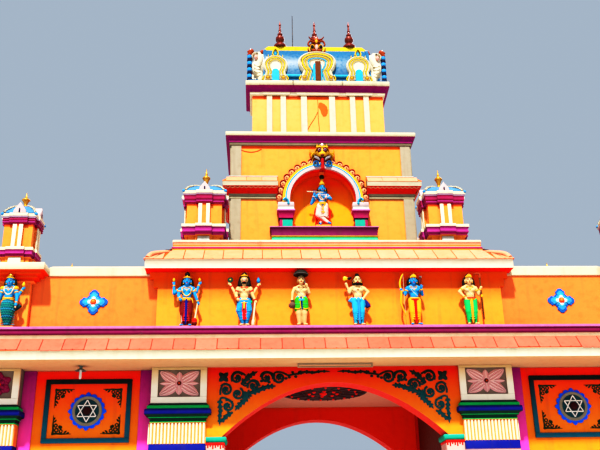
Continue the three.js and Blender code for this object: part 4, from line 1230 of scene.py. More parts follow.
def tower_walls():
    dress("tower_front_wall", "tower_front")
    dress("tower_side_and_rear_walls", "orange")
    piece = Piece("tower_corner_pilasters", "cream_plaster", base=ON_TOWER)
    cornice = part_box("tower_middle_cornice")
    for turn in (1, 2, 3):
        half = TOWER_X if turn == 2 else TOWER_Y
        out = TOWER_Y if turn == 2 else TOWER_X
        for u in (-half, half - 0.208):
            for low, high in ((PLATFORM_TOP, cornice[0].z), (cornice[1].z, TOWER_TOP)):
                piece.add(block(u, u + 0.208, low, high, -0.01, 0.025), "pilaster", wall(turn, out))
    foot = around(1.06, 0.33, 0, -TOWER_Y)
    piece.sweep(foot, ["green_pale", (0.12, 7), (0.12, 7.02), (0.09, 7.06), (0.03, 7.3), (0, 7.42), "gold",
                       (0, 7.43), (0.02, 7.44), (0.02, 7.455), (-0.1, 7.46)])
    piece.build()


def middle_cornice():
    piece = Piece("middle_cornice", "cream_plaster", ["tower_middle_cornice"], ON_TOWER)
    low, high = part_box("tower_middle_cornice")[0].z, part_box("tower_middle_cornice")[1].z
    piece.sweep(partial_loop(0.93), [
        "olive", (-0.02, low), (0.03, low), (0.03, low + 0.035), (0.018, low + 0.045), (0.018, low + 0.055),
        (0.045, low + 0.06), (0.045, low + 0.098),
        "red", (0.05, low + 0.1), *arc((0.05, low + 0.105), (0.12, low + 0.232), -0.025, 5),
        "fascia", (0.165, low + 0.236), (0.17, low + 0.333),
        "deep_orange", (0.176, low + 0.335), (0.176, low + 0.342), (0.165, low + 0.36), (0.03, high - 0.03),
        "white", (0.04, high - 0.026), (0.04, high), (-0.02, high)], 0.004, closed=False)
    for turn in range(4):
        along, out = (TOWER_X, TOWER_Y) if turn % 2 == 0 else (TOWER_Y, TOWER_X)
        spans = [(-along, along)] if turn else [(-along, -0.94), (0.94, along)]
        for start, end in spans:
            start_wave, end_wave = start - (0.13 if start < -0.95 else 0), end + (0.13 if end > 0.95 else 0)
            steps = round((end_wave - start_wave) / 0.012)
            wave = [(start_wave + (end_wave - start_wave) * k / steps,
                     low + 0.218 + 0.01 * sin(2 * pi * k * 0.012 / 0.095)) for k in range(steps + 1)]
            piece.add(stroke(wave, 0.022, 0.02), "peach_tile", wall(turn, out + 0.122))
            count = round((end - start) / 0.36)
            width = (end - start) / count
            place = slope(turn, out + 0.18, low + 0.34, 0.15, high - low - 0.365)
            for i in range(count):
                a, b = start + i * width + 0.003, start + (i + 1) * width - 0.003
                if i == 0 and start < -0.95:
                    a -= 0.1
                if i == count - 1 and end > 0.95:
                    b += 0.1
                piece.add(plate(rectangle(a, b, 0, 0.205, 0.004), -0.01, 0.005, 0.003), "peach_tile", place,
                          tone=LOOSE.random() ** 2)
    piece.build()


def tower_cap():
    piece = Piece("tower_cap_mouldings", "cream_plaster", ["tower_upper_cornice"], ON_TOWER)
    loop = around(TOWER_X, TOWER_Y)
    piece.sweep(loop, ["olive", (-0.02, 9.64), (0.04, 9.64), (0.045, 9.655), (0.045, 9.69),
                       "cap_magenta", (0.052, 9.692), *arc((0.06, 9.7), (0.105, 9.815), -0.02, 5),
                       "cream", (0.125, 9.82), (0.13, 9.91), (0.12, 9.92), "terrace", (-0.1, 9.92)], 0.005)
    piece.cap(loop(-0.02), 9.64, "olive", up=False)
    piece.cap(loop(-0.1), TOWER_CAP_TOP, "terrace")
    piece.build()


def niche_ledge():
    piece = Piece("niche_ledge_mouldings", "magenta_plaster", ["niche_ledge"], ON_TOWER)
    loop = lambda out: rectangle(-1.05 - out, 1.05 + out, -1.105 - out, -TOWER_Y, 0.008)
    piece.sweep(loop, ["gold", (0, 7.455), (0.008, 7.46), (0.008, 7.475), "maroon_ledge", (0.03, 7.48),
                       (0.02, 7.5), (0.04, 7.648), "pink", (0.055, 7.652), (0.055, 7.68), "magenta",
                       (-0.1, 7.68)], 0.005)
    piece.cap(loop(0), 7.455, "gold", up=False)
    piece.cap(loop(-0.1), 7.68, "pink")
    for side in (-1, 1):
        piece.place = flipped(side)
        plan = lambda out: rectangle(0.62 - out, 0.92 + out, -1.05 - out, -TOWER_Y, 0.006)
        # The dark teal band under the magenta flare is a painted shade line.
        piece.sweep(plan, ["magenta", (-0.02, 7.68), (-0.02, 7.87), "dark_teal", (-0.022, 7.875),
                           (-0.02, 7.9), "magenta", (0, 7.905), *arc((0, 7.91), (0.03, 8.05), -0.015, 4),
                           "pink", (0.036, 8.055), (0.036, 8.09), "white", (0.02, 8.094), (0.015, 8.15),
                           "pale", (0.018, 8.155), (0.015, 8.25), (0, 8.26), (-0.1, 8.262)], 0.005)
        piece.cap(plan(-0.1), 8.262, "white")
        piece.add(block(0.64, 0.845, 7.685, 7.87, 0, 0.006), "teal", wall(0, 1.034))
    piece.place = IDENTITY
    piece.build()


def niche_path(radius):
    """A round arch on two short uprights, from the right foot to the left."""
    bend = [pi * k / 28 for k in range(29)]
    arch = [(radius * cos(a), NICHE_SPRING + radius * sin(a)) for a in bend]
    return [(radius, 8.26), *arch, (-radius, 8.26)]


def niche_arch():
    piece = Piece("niche_arch_bands", "yellow_plaster", ["niche_arch"], ON_TOWER)
    back = wall(0, TOWER_Y - 0.01)
    def band(radius, width, high, finish):
        piece.add(stroke(niche_path(radius)[::-1], width, high + 0.004, flat=True), finish, back)
    band(NICHE_HALF + 0.125, 0.066, 0.15, "gold")
    band(NICHE_HALF + 0.086, 0.026, 0.185, "cyan")
    band(NICHE_HALF + 0.039, 0.074, 0.18, "pale")
    band(NICHE_HALF + 0.004, 0.012, 0.17, "red")
    front = wall(0, TOWER_Y + 0.02)
    curls = 18
    for k in range(curls):
        angle = pi * (k + 0.5) / curls
        if abs(angle - pi / 2) < 0.2:
            continue
        x, z = 0.892 * cos(angle), NICHE_SPRING + 0.892 * sin(angle)
        turned = front @ spot(x, z, angle - pi / 2) @ flipped(1 if x < 0 else -1)
        piece.add(boss(0.08, 0.072, 0.056, 14, 3), "salmon", turned @ spot(0, 0.008))
        piece.add(stroke(spiral(0, 0.02, 0.082, -2.4, 0.8, 0.05, 16), 0.02, 0.07), "deep_red", turned)
        piece.add(boss(0.026, 0.026, 0.075, 10, 3), "deep_red", turned @ spot(0, 0.018))
        piece.add(boss(0.016, 0.016, 0.084, 8, 3), "fascia", turned @ spot(0, 0.018))
        piece.add(boss(0.026, 0.026, 0.07, 8, 3), "salmon", turned @ spot(0.074, -0.034))
    for side in (-1, 1):
        piece.place = flipped(side)
        piece.draw([(0.82, 8.29), (0.79, 8.33), (0.74, 8.31), (0.715, 8.25)], taper(0.05, 0.035), 0.05,
                   "cyan", wall(0, TOWER_Y + 0.19), 6)
        piece.add(boss(0.03, 0.035, 0.06, 12, 4), "cyan", wall(0, TOWER_Y + 0.18) @ spot(0.72, 8.225))
    piece.place = IDENTITY
    mask(piece)
    piece.build()


def mask(piece):
    """A lion-like mask over the arch: bulging eyes, tusks, open jaws, side curls and a small crown."""
    plane = wall(0, TOWER_Y + 0.02) @ moved(0.012, 0, 0)
    at = lambda x, z, y: plane @ moved(x, z, y)
    piece.add(plate([(-0.19, 9.2), (0.19, 9.2), (0.2, 9.32), (0.13, 9.45), (-0.13, 9.45), (-0.2, 9.32)],
                    -0.02, 0.06, 0.02), "dark_red", plane)
    piece.add(ball(0.15, 0.11, 0.1), "gold", at(0, 9.45, 0.05))
    piece.add(ball(0.085, 0.06, 0.07), "gold", at(0, 9.385, 0.11))
    for side in (-1, 1):
        half = plane @ flipped(side)
        near = lambda x, z, y=0: half @ moved(x, z, y)
        piece.add(ball(0.05, 0.05, 0.04), "brown", near(0.058, 9.465, 0.13))
        piece.add(ball(0.032, 0.032, 0.035), "lilac", near(0.058, 9.465, 0.145))
        piece.add(ball(0.019, 0.019, 0.014), "black", near(0.058, 9.46, 0.174))
        piece.draw([(0.015, 9.5), (0.06, 9.535), (0.12, 9.51), (0.15, 9.45)], 0.03, 0.16, "gold", half, 6)
        piece.draw([(0.05, 9.41), (0.13, 9.43), (0.2, 9.4), (0.235, 9.34)], taper(0.06, 0.05), 0.13, "gold",
                   half, 6)
        piece.draw([(0.2, 9.42), (0.25, 9.45), (0.255, 9.51)], taper(0.05, 0.02), 0.09, "gold", half, 6)
        piece.draw([(0.055, 9.262), (0.1, 9.31), (0.168, 9.335)], swollen(0.02, 0.012), 0.15, "star_white",
                   half, 6)
        piece.draw([(0.1, 9.22), (0.19, 9.2), (0.205, 9.27), (0.18, 9.32)], 0.022, 0.09, "gold", half, 6)
        piece.add(stroke(spiral(0.13, 9.145, 0.088, 3, 1.25, 0.03, 18), 0.042, 0.2, 6), "sky", half)
        piece.add(boss(0.02, 0.02, 0.2, 8, 3), "petal_light", near(0.13, 9.145))
    piece.add(ball(0.04, 0.025, 0.03), "brown", at(0, 9.33, 0.165))
    piece.add(stroke([(0, 9.26), (0, 9.2), (0, 9.12), (0, 9.02)], taper(0.08, 0.14), 0.205, 6), "deep_red",
              plane)
    piece.add(stroke([(0, 9.26), (0, 9.02)], 0.01, 0.212, 4), "dark_red", plane)
    piece.add(block(-0.125, 0.125, 9.535, 9.58, -0.02, 0.13, 0.012), "gold", plane)
    for x, top in ((-0.1, 9.635), (-0.05, 9.62), (0.05, 9.62), (0.1, 9.635), (0, 9.66)):
        piece.add(stroke([(x, 9.56), (x, top)], taper(0.06, 0.015), 0.12, 6), "gold", plane)
    piece.add(ball(0.032, 0.032, 0.03), "star_white", at(0, 9.6, 0.12))


# Top storey and the wagon roof

def top_storey():
    dress("top_storey_walls", "top_walls")
    piece = Piece("top_cornice_mouldings", "cream_plaster", ["top_cornice"], ON_TOWER)
    rings = ["fascia", (-0.02, 11.12), (0.036, 11.12), (0.05, 11.14), (0.05, 11.18),
             "cap_magenta", (0.058, 11.182), *arc((0.062, 11.19), (0.115, 11.305), -0.02, 5),
             "cream", (0.15, 11.31), (0.152, 11.43), (0.14, ROOF_LOW), (-0.1, ROOF_LOW)]
    loop = around(TOP_X, TOP_Y)
    piece.sweep(loop, rings, 0.005)
    piece.cap(loop(-0.02), 11.12, "fascia", up=False)
    piece.cap(loop(-0.1), ROOF_LOW, "cream")
    for facing in (-1, 1):
        piece.place = quarter(1, facing)
        for a, b in ((-0.43, 0.43), (-1.19, -0.68), (0.68, 1.19)):
            plan = lambda out: rectangle(a - out, b + out, -TOP_Y - 0.012 - out, -TOP_Y + 0.1, 0.006)
            piece.sweep(plan, rings[:-1] + [(0, 11.442)], 0.005)
    piece.place = IDENTITY
    piece.build()


def painted_shadows_and_cracks():
    """Painted shadows on the tower: a round painted shadow and two cracks on the top storey, and the curved
    painted shadow of a wire on the storey below.
    """
    marks = Piece("painted_shadows_and_cracks", "orange_plaster", base=ON_TOWER)
    top = wall(0, TOP_Y - 0.003)
    round_shadow = [(0.02, 10.95), (0.06, 10.97), (0.14, 10.93), (0.2, 10.86), (0.218, 10.77), (0.21, 10.68),
            (0.17, 10.61), (0.11, 10.6), (0.07, 10.67), (0.05, 10.76), (0.01, 10.84)]
    marks.add(plate(round_shadow[::-1], 0, 0.006, 0.002), "deep_orange", top)
    marks.draw([(-0.012, 11.11), (0, 10.9), (-0.004, 10.6), (0.012, 10.3), (0.01, 10.03)], 0.016, 0.016,
               "deep_orange", top)
    marks.draw([(-0.01, 10.72), (-0.09, 10.55), (-0.18, 10.4), (-0.3, 10.16)], 0.018, 0.016, "deep_orange",
               top)
    # Painted shadow of a wire, curving across the tower's front.
    curved = curve([(-1.74, 9.585), (-1.66, 9.52), (-1.51, 9.49), (-1.37, 9.51), (-1.27, 9.565)])
    marks.add(stroke(curved, 0.026, 0.02), "deep_orange", wall(0, TOWER_Y - 0.004))
    marks.build()


def horseshoe(cx, shape, shrink=0):
    """A gable's outline from its right foot round to the left. The shape is the greatest half width and its
    height, the waist's half width and its height, the foot's half width, the foot's height and the top."""
    half, middle, waist, waist_at, foot, low, top = shape
    radius, share = half - shrink, (half - shrink) / half
    angle = -acos(min(max(waist - shrink, 0.01) / radius, 1))
    drop = (middle - waist_at) / max(sin(-angle), 0.01)
    span = pi - 2 * angle
    path = [(cx + foot - shrink, low)]
    for k in range(23):
        turn = angle + span * k / 22
        below = turn < 0 or turn > pi
        high = sin(turn) * (drop if below else (top - middle) - shrink * (0.6 + 0.4 * share))
        path.append((cx + radius * cos(turn), middle + high))
    return path + [(cx - foot + shrink, low)]


def roof_gable(piece, plane, cx, shape, bands, depth, door):
    """A horseshoe gable: its back, its bands from the rim inwards as (finish, width), and its door."""
    foot, low = shape[4], shape[5]
    piece.add(plate(horseshoe(cx, shape), -0.15, depth - 0.02, 0.015), "fascia", plane)
    reach = 0
    for i, (finish, width) in enumerate(bands):
        path = horseshoe(cx, shape, reach + width / 2)
        rise = depth + 0.006 * (len(bands) - i) - (0.008 if i % 2 else 0)
        piece.add(stroke(path[::-1], width, rise, 4, flat=i % 2 == 1), finish, plane)
        reach += width
    door_half, door_top = door
    spring = door_top - door_half
    outline = [(cx - door_half, low), (cx + door_half, low)]
    outline += [(cx + door_half * cos(a), spring + door_half * sin(a))
                for a in (pi * k / 10 for k in range(11))]
    piece.add(plate(outline, 0, depth + 0.03, 0.006), "cyan", plane)
    for side in (-1, 1):
        place = plane @ moved(cx + side * (foot - 0.1), low + 0.078, depth)
        piece.add(boss(0.046, 0.046, 0.07, 14, 4), "gold", place)
        ring(piece, "fascia", place, 0.054, 0.016, 0.06, 16)
        curl = curve([(cx + side * (foot - 0.03), low + 0.16), (cx + side * (foot + 0.01), low + 0.07),
                      (cx + side * (foot - 0.04), low + 0.012)])
        piece.add(stroke(curl, 0.04, depth + 0.02, 5), "ridge_yellow", plane)


def vault_row(x, half, spring, crown, swell):
    """A section of the wagon roof at one X, from the front foot over to the rear one."""
    row = [(x, -half - swell, ROOF_LOW), (x, -half - swell, spring)]
    for k in range(1, 24):
        angle = pi * k / 24
        row.append((x, -(half + swell) * cos(angle), spring + (crown - spring + swell) * sin(angle)))
    return row + [(x, half + swell, spring), (x, half + swell, ROOF_LOW)]


GABLE_BANDS = [("fascia", 0.06), ("ridge_yellow", 0.02), ("fascia", 0.044), ("ridge_yellow", 0.016),
               ("fascia", 0.034)]


def wagon_roof():
    piece = Piece("wagon_roof", "blue_plaster", ["barrel_roof"], ON_TOWER)
    low, half = ROOF_LOW, 0.5
    for a, b, swell in ((-1.23, 1.23, 0), (-1.22, -1.16, 0.02), (1.16, 1.22, 0.02)):
        rows = [vault_row(x, half, 11.69, 12.57, swell) for x in (a, b)]
        piece.add(rows_shape(rows, closed=False), "barrel")
        face = tuple(range(len(rows[0])))
        piece.add((rows[0], [face[::-1]]), "barrel")
        piece.add((rows[1], [face]), "barrel")
    for facing in (-1, 1):
        piece.place = quarter(1, facing)
        piece.add(block(-1.23, 1.23, -half - 0.045, -half + 0.05, low, low + 0.07, 0.012), "barrel")
        piece.add(limb((-1.2, -half - 0.015, low + 0.17), (1.2, -half - 0.015, low + 0.17), 0.034, 0.034,
                       10), "cyan")
        for side in (-1, 1):
            side_gable(piece, wall(0, half), side * 0.95, low)
    piece.place = quarter(1, 1)
    roof_gable(piece, wall(0, half), 0, (0.42, 11.94, 0.33, 11.71, 0.4, low, 12.22), GABLE_BANDS, 0.08,
               (0.12, 11.95))
    piece.place = IDENTITY
    for facing in (-1, 1):
        outline = [(-1.29, 12.54), (1.29, 12.54), (1.11, 12.69), (-1.11, 12.69)]
        piece.add(plate(outline, -0.02, 0.085, 0.012), "ridge_yellow", wall(1 - facing, 0))
    piece.build()

    gable = Piece("front_gable", "yellow_plaster", ["front_kudu"], ON_TOWER)
    bands = [("fascia", 0.08), ("ridge_yellow", 0.03), ("fascia", 0.05), ("ridge_yellow", 0.018),
             ("fascia", 0.05), ("cyan", 0.022), ("fascia", 0.045)]
    roof_gable(gable, wall(0, half), 0, (0.435, 11.965, 0.33, 11.71, 0.4, low, 12.24), bands, 0.07,
               (0.1, 11.93))
    gable.add(block(-0.05, 0.075, low, 11.95, 0, 0.115, 0.006), "wood", wall(0, half))
    gable_mask(gable, wall(0, half))
    gable.build()


def side_gable(piece, plane, cx, low):
    roof_gable(piece, plane, cx, (0.28, 11.88, 0.227, 11.705, 0.275, low, 12.13), GABLE_BANDS, 0.05,
               (0.08, 11.766))
    top = 12.08
    for side in (-1, 1):
        arm = curve([(cx, top), (cx + side * 0.09, top + 0.03), (cx + side * 0.155, top - 0.02),
                     (cx + side * 0.164, top + 0.06)])
        piece.add(stroke(arm, taper(0.045, 0.02), 0.07, 5), "ridge_yellow", plane)
    loop = [(cx - 0.03, top + 0.02), (cx - 0.064, top + 0.12), (cx, top + 0.235), (cx + 0.064, top + 0.12),
            (cx + 0.03, top + 0.02)]
    piece.draw(loop, 0.036, 0.07, "ridge_yellow", plane, 5)
    piece.add(boss(0.032, 0.065, 0.06, 10, 3), "cyan", plane @ spot(cx, top + 0.09))


def gable_mask(piece, plane):
    """A horned mask over the front gable."""
    plane = plane @ moved(0, 12.36, 0) @ Matrix.Diagonal((1.15, 1.15, 1, 1)) @ moved(0, -12.36, 0)
    at = lambda x, z, y: plane @ moved(x, z, y)
    piece.add(ball(0.13, 0.17, 0.07), "wood_red", at(0, 12.4, -0.07))
    piece.add(ball(0.08, 0.09, 0.06), "wood_red", at(0, 12.55, -0.05))
    for side in (-1, 1):
        half = plane @ flipped(side)
        near = lambda x, z, y: half @ moved(x, z, y)
        piece.add(ball(0.052, 0.062, 0.045), "gold", near(0.082, 12.395, -0.005))
        piece.add(ball(0.038, 0.048, 0.04), "black", near(0.084, 12.39, 0.012))
        piece.draw([(0.04, 12.5), (0.12, 12.53), (0.165, 12.47), (0.155, 12.41)], 0.035, 0.05, "wood_red",
                   half, 5)
        piece.draw([(0.05, 12.56), (0.11, 12.58), (0.15, 12.63)], taper(0.04, 0.015), 0.04, "wood_red",
                   half, 5)
        piece.draw([(0.02, 12.235), (0.08, 12.22), (0.15, 12.27), (0.172, 12.34)], taper(0.045, 0.025),
                   0.07, "wood_red", half, 5)
        piece.draw([(0, 12.205), (0.07, 12.2), (0.13, 12.23)], taper(0.024, 0.014), 0.08, "rose", half, 5)
        piece.add(ball(0.045, 0.03, 0.035), "wood_red", near(0.055, 12.29, 0.035))
    piece.add(ball(0.035, 0.075, 0.05), "rose", at(0, 12.36, 0.03))
    piece.add(ball(0.03, 0.045, 0.03), "gold", at(0, 12.52, 0.01))
    piece.add(ball(0.03, 0.035, 0.03), "rose", at(0, 12.615, -0.03))


def end_gables():
    for label, side in SIDES:
        piece = Piece(f"{label}_end_gable", "cream_plaster", [f"{label}_roof_gable"], ON_TOWER)
        piece.place = flipped(side)
        plane = wall(1, 1.23)
        roof_gable(piece, plane, 0, (0.46, 12, 0.37, 11.72, 0.46, ROOF_LOW, 12.42), GABLE_BANDS, 0.1,
                   (0.13, 11.96))
        piece.add(ball(0.12, 0.1, 0.06), "wood_red", plane @ moved(0, 12.52, 0.02))
        for facing in (-1, 1):
            piece.place = flipped(side, -facing)
            piece.add(block(1.25, 1.58, -0.5, -0.36, ROOF_LOW, 11.53, 0.02), "barrel")
            yali(piece)
        piece.build()


def yali(piece):
    """A bird-like beast and a striped post with a curling head, at the right front corner of the roof."""
    plane = wall(0, 0.4)
    body = curve([(1.3, 11.5), (1.31, 11.64), (1.37, 11.78), (1.38, 11.92), (1.33, 12.04), (1.32, 12.14),
                  (1.35, 12.24)], 5)
    piece.add(stroke(body, swollen(0.14, 0.1), 0.12, 8), "fascia", plane)
    piece.add(stroke(curve([(1.34, 12.2), (1.42, 12.22), (1.48, 12.16), (1.46, 12.08)], 5),
                     taper(0.09, 0.03), 0.13, 8), "fascia", plane)
    piece.add(ball(0.045, 0.06, 0.05), "rose", plane @ moved(1.394, 12.09, 0.12))
    piece.add(ball(0.018, 0.018, 0.02), "black", plane @ moved(1.37, 12.2, 0.125))
    for k in range(4):
        z = 11.62 + k * 0.085
        piece.draw([(1.29, z), (1.36, z - 0.02), (1.44, z + 0.03)], 0.016, 0.128, "cream", plane, 4)
    for k in range(8):
        z = 11.53 + k * 0.085
        piece.add(limb((1.54, -0.44, z), (1.54, -0.44, z + 0.03), 0.056, 0.056, 12),
                  "sky" if k % 2 else "navy")
    piece.add(limb((1.54, -0.44, 11.47), (1.54, -0.44, 12.2), 0.05, 0.05, 12), "navy")
    piece.add(limb((1.54, -0.44, 12.2), (1.5, -0.46, 12.285), 0.055, 0.06, 12), "wood_red")
    piece.add(limb((1.5, -0.46, 12.3), (1.57, -0.47, 12.27), 0.05, 0.026, 12), "wood_red")
    piece.add(ball(0.016, 0.012, 0.016), "star_white", moved(1.52, -0.512, 12.31))


def finials():
    outline = [(0.13, 0), (0.148, 0.02), (0.148, 0.06), (0.135, 0.08), (0.1, 0.115), (0.07, 0.14),
               (0.052, 0.16), (0.07, 0.175), (0.094, 0.2), (0.104, 0.24), (0.098, 0.29), (0.072, 0.32),
               (0.042, 0.335), (0.042, 0.35), (0.06, 0.366), (0.063, 0.39), (0.045, 0.41), (0.03, 0.435),
               (0.026, 0.47), (0.036, 0.485), (0.036, 0.5), (0.024, 0.515), (0.022, 0.58), (0.018, 0.62),
               (0.026, 0.635), (0.03, 0.66), (0.022, 0.69), (0.008, 0.73), (0.004, 0.768)]
    for label, x in (("left", -0.825), ("middle", 0), ("right", 0.825)):
        piece = Piece(f"{label}_copper_finial", "copper", [f"{label}_finial"], ON_TOWER)
        piece.add(lathe([(r, 12.69 + z) for r, z in outline], 28), "copper", moved(x, 0, 0))
        piece.build(30)
    dress("lightning_rod", "steel", 0.001)


# Stucco figures

VOXEL = 0.0085


class Statue:
    """A stucco figure. Places are metres from the middle of its feet: x to the right, y to the wall, z up.
    Its forms are fused and smoothed, and ornaments are then laid on the surface."""

    def __init__(self, name, node, slot, foot, skin, lift=0):
        self.piece = Piece(name, slot, [node])
        self.piece.place = moved(foot[0], foot[1], foot[2] + lift)
        self.piece.add(block(-0.16, 0.16, -0.1, 0.1, -lift, 0.078, 0.012), "orange")
        self.points, self.faces, self.finish = [], [], []
        self.skin = skin
        self.rings = []

    def form(self, shape, finish, place=IDENTITY):
        start = len(self.points)
        self.points += [tuple(place @ Vector(p)) for p in shape[0]]
        self.faces += [tuple(start + i for i in face) for face in shape[1]]
        self.finish += [finish] * len(shape[1])

    def bone(self, a, b, ra, rb, finish=None):
        self.form(limb(a, b, ra, rb, 12), finish or self.skin)

    def lump(self, centre, radii, finish=None):
        self.form(ball(*radii, 14, 8), finish or self.skin, Matrix.Translation(centre))

    def cord(self, points, radius, finish, sides=8, steps=4):
        """A round bar along a smooth path, fused with the rest."""
        self.form(tube(curve(points, steps), radius, sides), finish)

    def turn_on(self, profile, sides, finish, place=IDENTITY):
        """A turned ornament, laid on after the fusing."""
        self.piece.add(lathe(profile, sides), finish, place)

    def torso(self):
        self.lump((0, 0.005, 0.7), (0.1, 0.062, 0.092))
        self.lump((0, -0.01, 0.62), (0.074, 0.056, 0.075))
        self.lump((0, 0, 0.548), (0.098, 0.07, 0.062))
        self.bone((0, 0.005, 0.77), (0, -0.008, 0.86), 0.037, 0.033)
        for side in (-1, 1):
            self.lump((side * 0.046, -0.04, 0.722), (0.046, 0.027, 0.036))
            self.lump((side * 0.11, 0.005, 0.762), (0.044, 0.04, 0.044))
            self.bone((side * 0.088, 0.008, 0.782), (side * 0.018, 0.005, 0.818), 0.03, 0.03)

    def arm(self, elbow, hand, fingers=1):
        side = copysign(1, elbow[0])
        shoulder = (side * 0.112, 0.005, 0.765)
        self.bone(shoulder, elbow, 0.037, 0.03)
        self.bone(elbow, hand, 0.03, 0.021)
        along = (Vector(hand) - Vector(elbow)).normalized()
        palm = Vector(hand) + along * 0.03
        self.bone(hand, palm, 0.024, 0.022)
        across = along.cross(Vector((0, 1, 0))).normalized()
        if fingers:
            for k in range(4):
                root = palm + along * 0.01 + across * 0.011 * (k - 1.5)
                self.bone(root, root + along * (0.035 - 0.004 * abs(k - 1.5)), 0.0085, 0.007)
            self.bone(palm, palm + along * 0.012 - across * side * 0.034, 0.009, 0.008)
        else:
            self.lump(tuple(palm), (0.028, 0.026, 0.026))
        self.rings += [(shoulder, elbow, 0.42, 0.0385), (elbow, hand, 0.86, 0.0265)]

    def foot(self, ankle, turn=0):
        toe = (ankle[0] + 0.095 * sin(turn), ankle[1] - 0.095 * cos(turn), 0.092)
        self.bone(ankle, (ankle[0], ankle[1] + 0.01, 0.105), 0.033, 0.03)
        self.bone((ankle[0], ankle[1] + 0.01, 0.103), toe, 0.028, 0.02)
        for k in (-1, 0, 1):
            self.lump((toe[0] + k * 0.014, toe[1] - 0.01, 0.088), (0.009, 0.014, 0.009))

    def leg(self, side, cloth, knee=None, ankle=None):
        knee = knee or (side * 0.058, -0.018, 0.32)
        ankle = ankle or (side * 0.05, 0.005, 0.135)
        self.bone((side * 0.05, 0, 0.53), knee, 0.071, 0.053, cloth)
        self.bone(knee, ankle, 0.05, 0.036, cloth)
        self.foot(ankle, side * 0.35)

    def folds(self, finish, high, low, count, depth=0.062, wide=0.098, narrow=0.078):
        """Cloth folds that run across both legs."""
        for side in (-1, 1):
            for k in range(count):
                share = (k + 0.5) / count
                z = high + (low - high) * share
                half = wide + (narrow - wide) * share
                path = [(side * half * (0.12 + 0.88 * t), -depth * cos(t * 1.35), z + 0.03 * (t - 0.5))
                        for t in (0, 0.25, 0.5, 0.75, 1)]
                self.form(tube(path, 0.01, 6), finish)

    def head(self, height=0.905):
        self.lump((0, -0.006, height + 0.014), (0.06, 0.066, 0.076))
        self.lump((0, -0.026, height - 0.038), (0.044, 0.044, 0.044))
        self.lump((0, -0.056, height - 0.066), (0.019, 0.016, 0.014))
        self.bone((0, -0.07, height + 0.016), (0, -0.088, height - 0.016), 0.008, 0.0115)
        self.bone((-0.03, -0.062, height + 0.034), (0.03, -0.062, height + 0.034), 0.01, 0.01)
        for side in (-1, 1):
            self.lump((side * 0.03, -0.05, height - 0.024), (0.021, 0.019, 0.019))
            self.lump((side * 0.064, 0, height - 0.004), (0.012, 0.02, 0.028))

    def long_hair(self, height=0.905, low=0.76, top=1.04):
        self.lump((0, 0.022, height + 0.045), (0.073, 0.066, 0.076), "black")
        self.lump((0, 0.01, top - 0.035), (0.046, 0.044, 0.04), "black")
        for side in (-1, 1):
            lock = [(side * 0.058, 0.022, height + 0.06), (side * 0.078, 0.03, height - 0.02),
                    (side * 0.088, 0.028, low)]
            self.cord(lock, swollen(0.024, 0.014), "black")

    def fuse(self):
        mesh = bpy.data.meshes.new("forms")
        mesh.from_pydata(self.points, [], self.faces)
        rough = bpy.data.objects.new("forms", mesh)
        bpy.context.scene.collection.objects.link(rough)
        remesh = rough.modifiers.new("fuse", "REMESH")
        remesh.mode = "VOXEL"
        remesh.voxel_size = VOXEL
        soften = rough.modifiers.new("soften", "SMOOTH")
        soften.factor = 0.5
        soften.iterations = 2
        fused = bpy.data.meshes.new_from_object(rough.evaluated_get(bpy.context.evaluated_depsgraph_get()))
        nearest = BVHTree.FromPolygons([Vector(p) for p in self.points], self.faces)
        names = [self.finish[nearest.find_nearest(face.center)[2]] for face in fused.polygons]
        points = [tuple(v.co) for v in fused.vertices]
        faces = [tuple(face.vertices) for face in fused.polygons]
        self.skin_tree = BVHTree.FromPolygons([Vector(p) for p in points], faces)
        self.piece.add((points, faces), names)
        bpy.data.objects.remove(rough)
        bpy.data.meshes.remove(mesh)
        bpy.data.meshes.remove(fused)

    def front(self, x, z):
        hit = self.skin_tree.ray_cast(Vector((x, -1, z)), Vector((0, 1, 0)))[0]
        return hit.y if hit else 0

    def bead(self, x, z, radii, finish, sink=0):
        self.piece.add(ball(*radii, 10, 6), finish, moved(x, self.front(x, z) + sink, z))

    def drape(self, path, radius, finish, smooth=4):
        """A cord laid on the front of the figure, given by points in x and z."""
        path = curve([(x, 0, z) for x, z in path], smooth)
        laid = [(x, self.front(x, z), z) for x, _, z in path]
        for i in range(1, len(laid) - 1):
            if laid[i][1] > max(laid[i - 1][1], laid[i + 1][1]) + 0.03:
                laid[i] = (laid[i][0], (laid[i - 1][1] + laid[i + 1][1]) / 2, laid[i][2])
        self.piece.add(tube(laid, radius, 6), finish)

    def band(self, half, depth, profile, finish, middle=0, sag=0):
        """A band round the hips or the head, its profile given as how far out and how high."""
        rows = [[((half + out) * cos(a), (depth + out) * sin(a) - middle, z + sag * sin(a))
                 for a in angles(20)] for out, z in profile]
        self.piece.add(rows_shape(rows), finish)

    def girdle(self, z, half, finish, height):
        profile = [(0, z - height / 2), (0.007, z - height / 4), (0.007, z + height / 4),
                   (0, z + height / 2)]
        self.band(half, 0.078, profile, finish, sag=0.012)

    def face(self, height=0.905):
        for side in (-1, 1):
            self.bead(side * 0.024, height + 0.012, (0.0145, 0.005, 0.0075), "white")
            self.bead(side * 0.024, height + 0.012, (0.0065, 0.005, 0.0065), "black", -0.003)
            for radius, line in ((0.0025, ((0.008, 0.014), (0.024, 0.022), (0.04, 0.013))),
                                 (0.003, ((0.008, 0.032), (0.026, 0.04), (0.044, 0.031)))):
                self.drape([(side * x, height + z) for x, z in line], radius, "black", 3)
            self.bead(side * 0.066, height - 0.036, (0.01, 0.01, 0.013), "gold")
        self.bead(0, height - 0.04, (0.017, 0.006, 0.0045), "red")
        self.bead(0, height - 0.048, (0.012, 0.006, 0.004), "red")

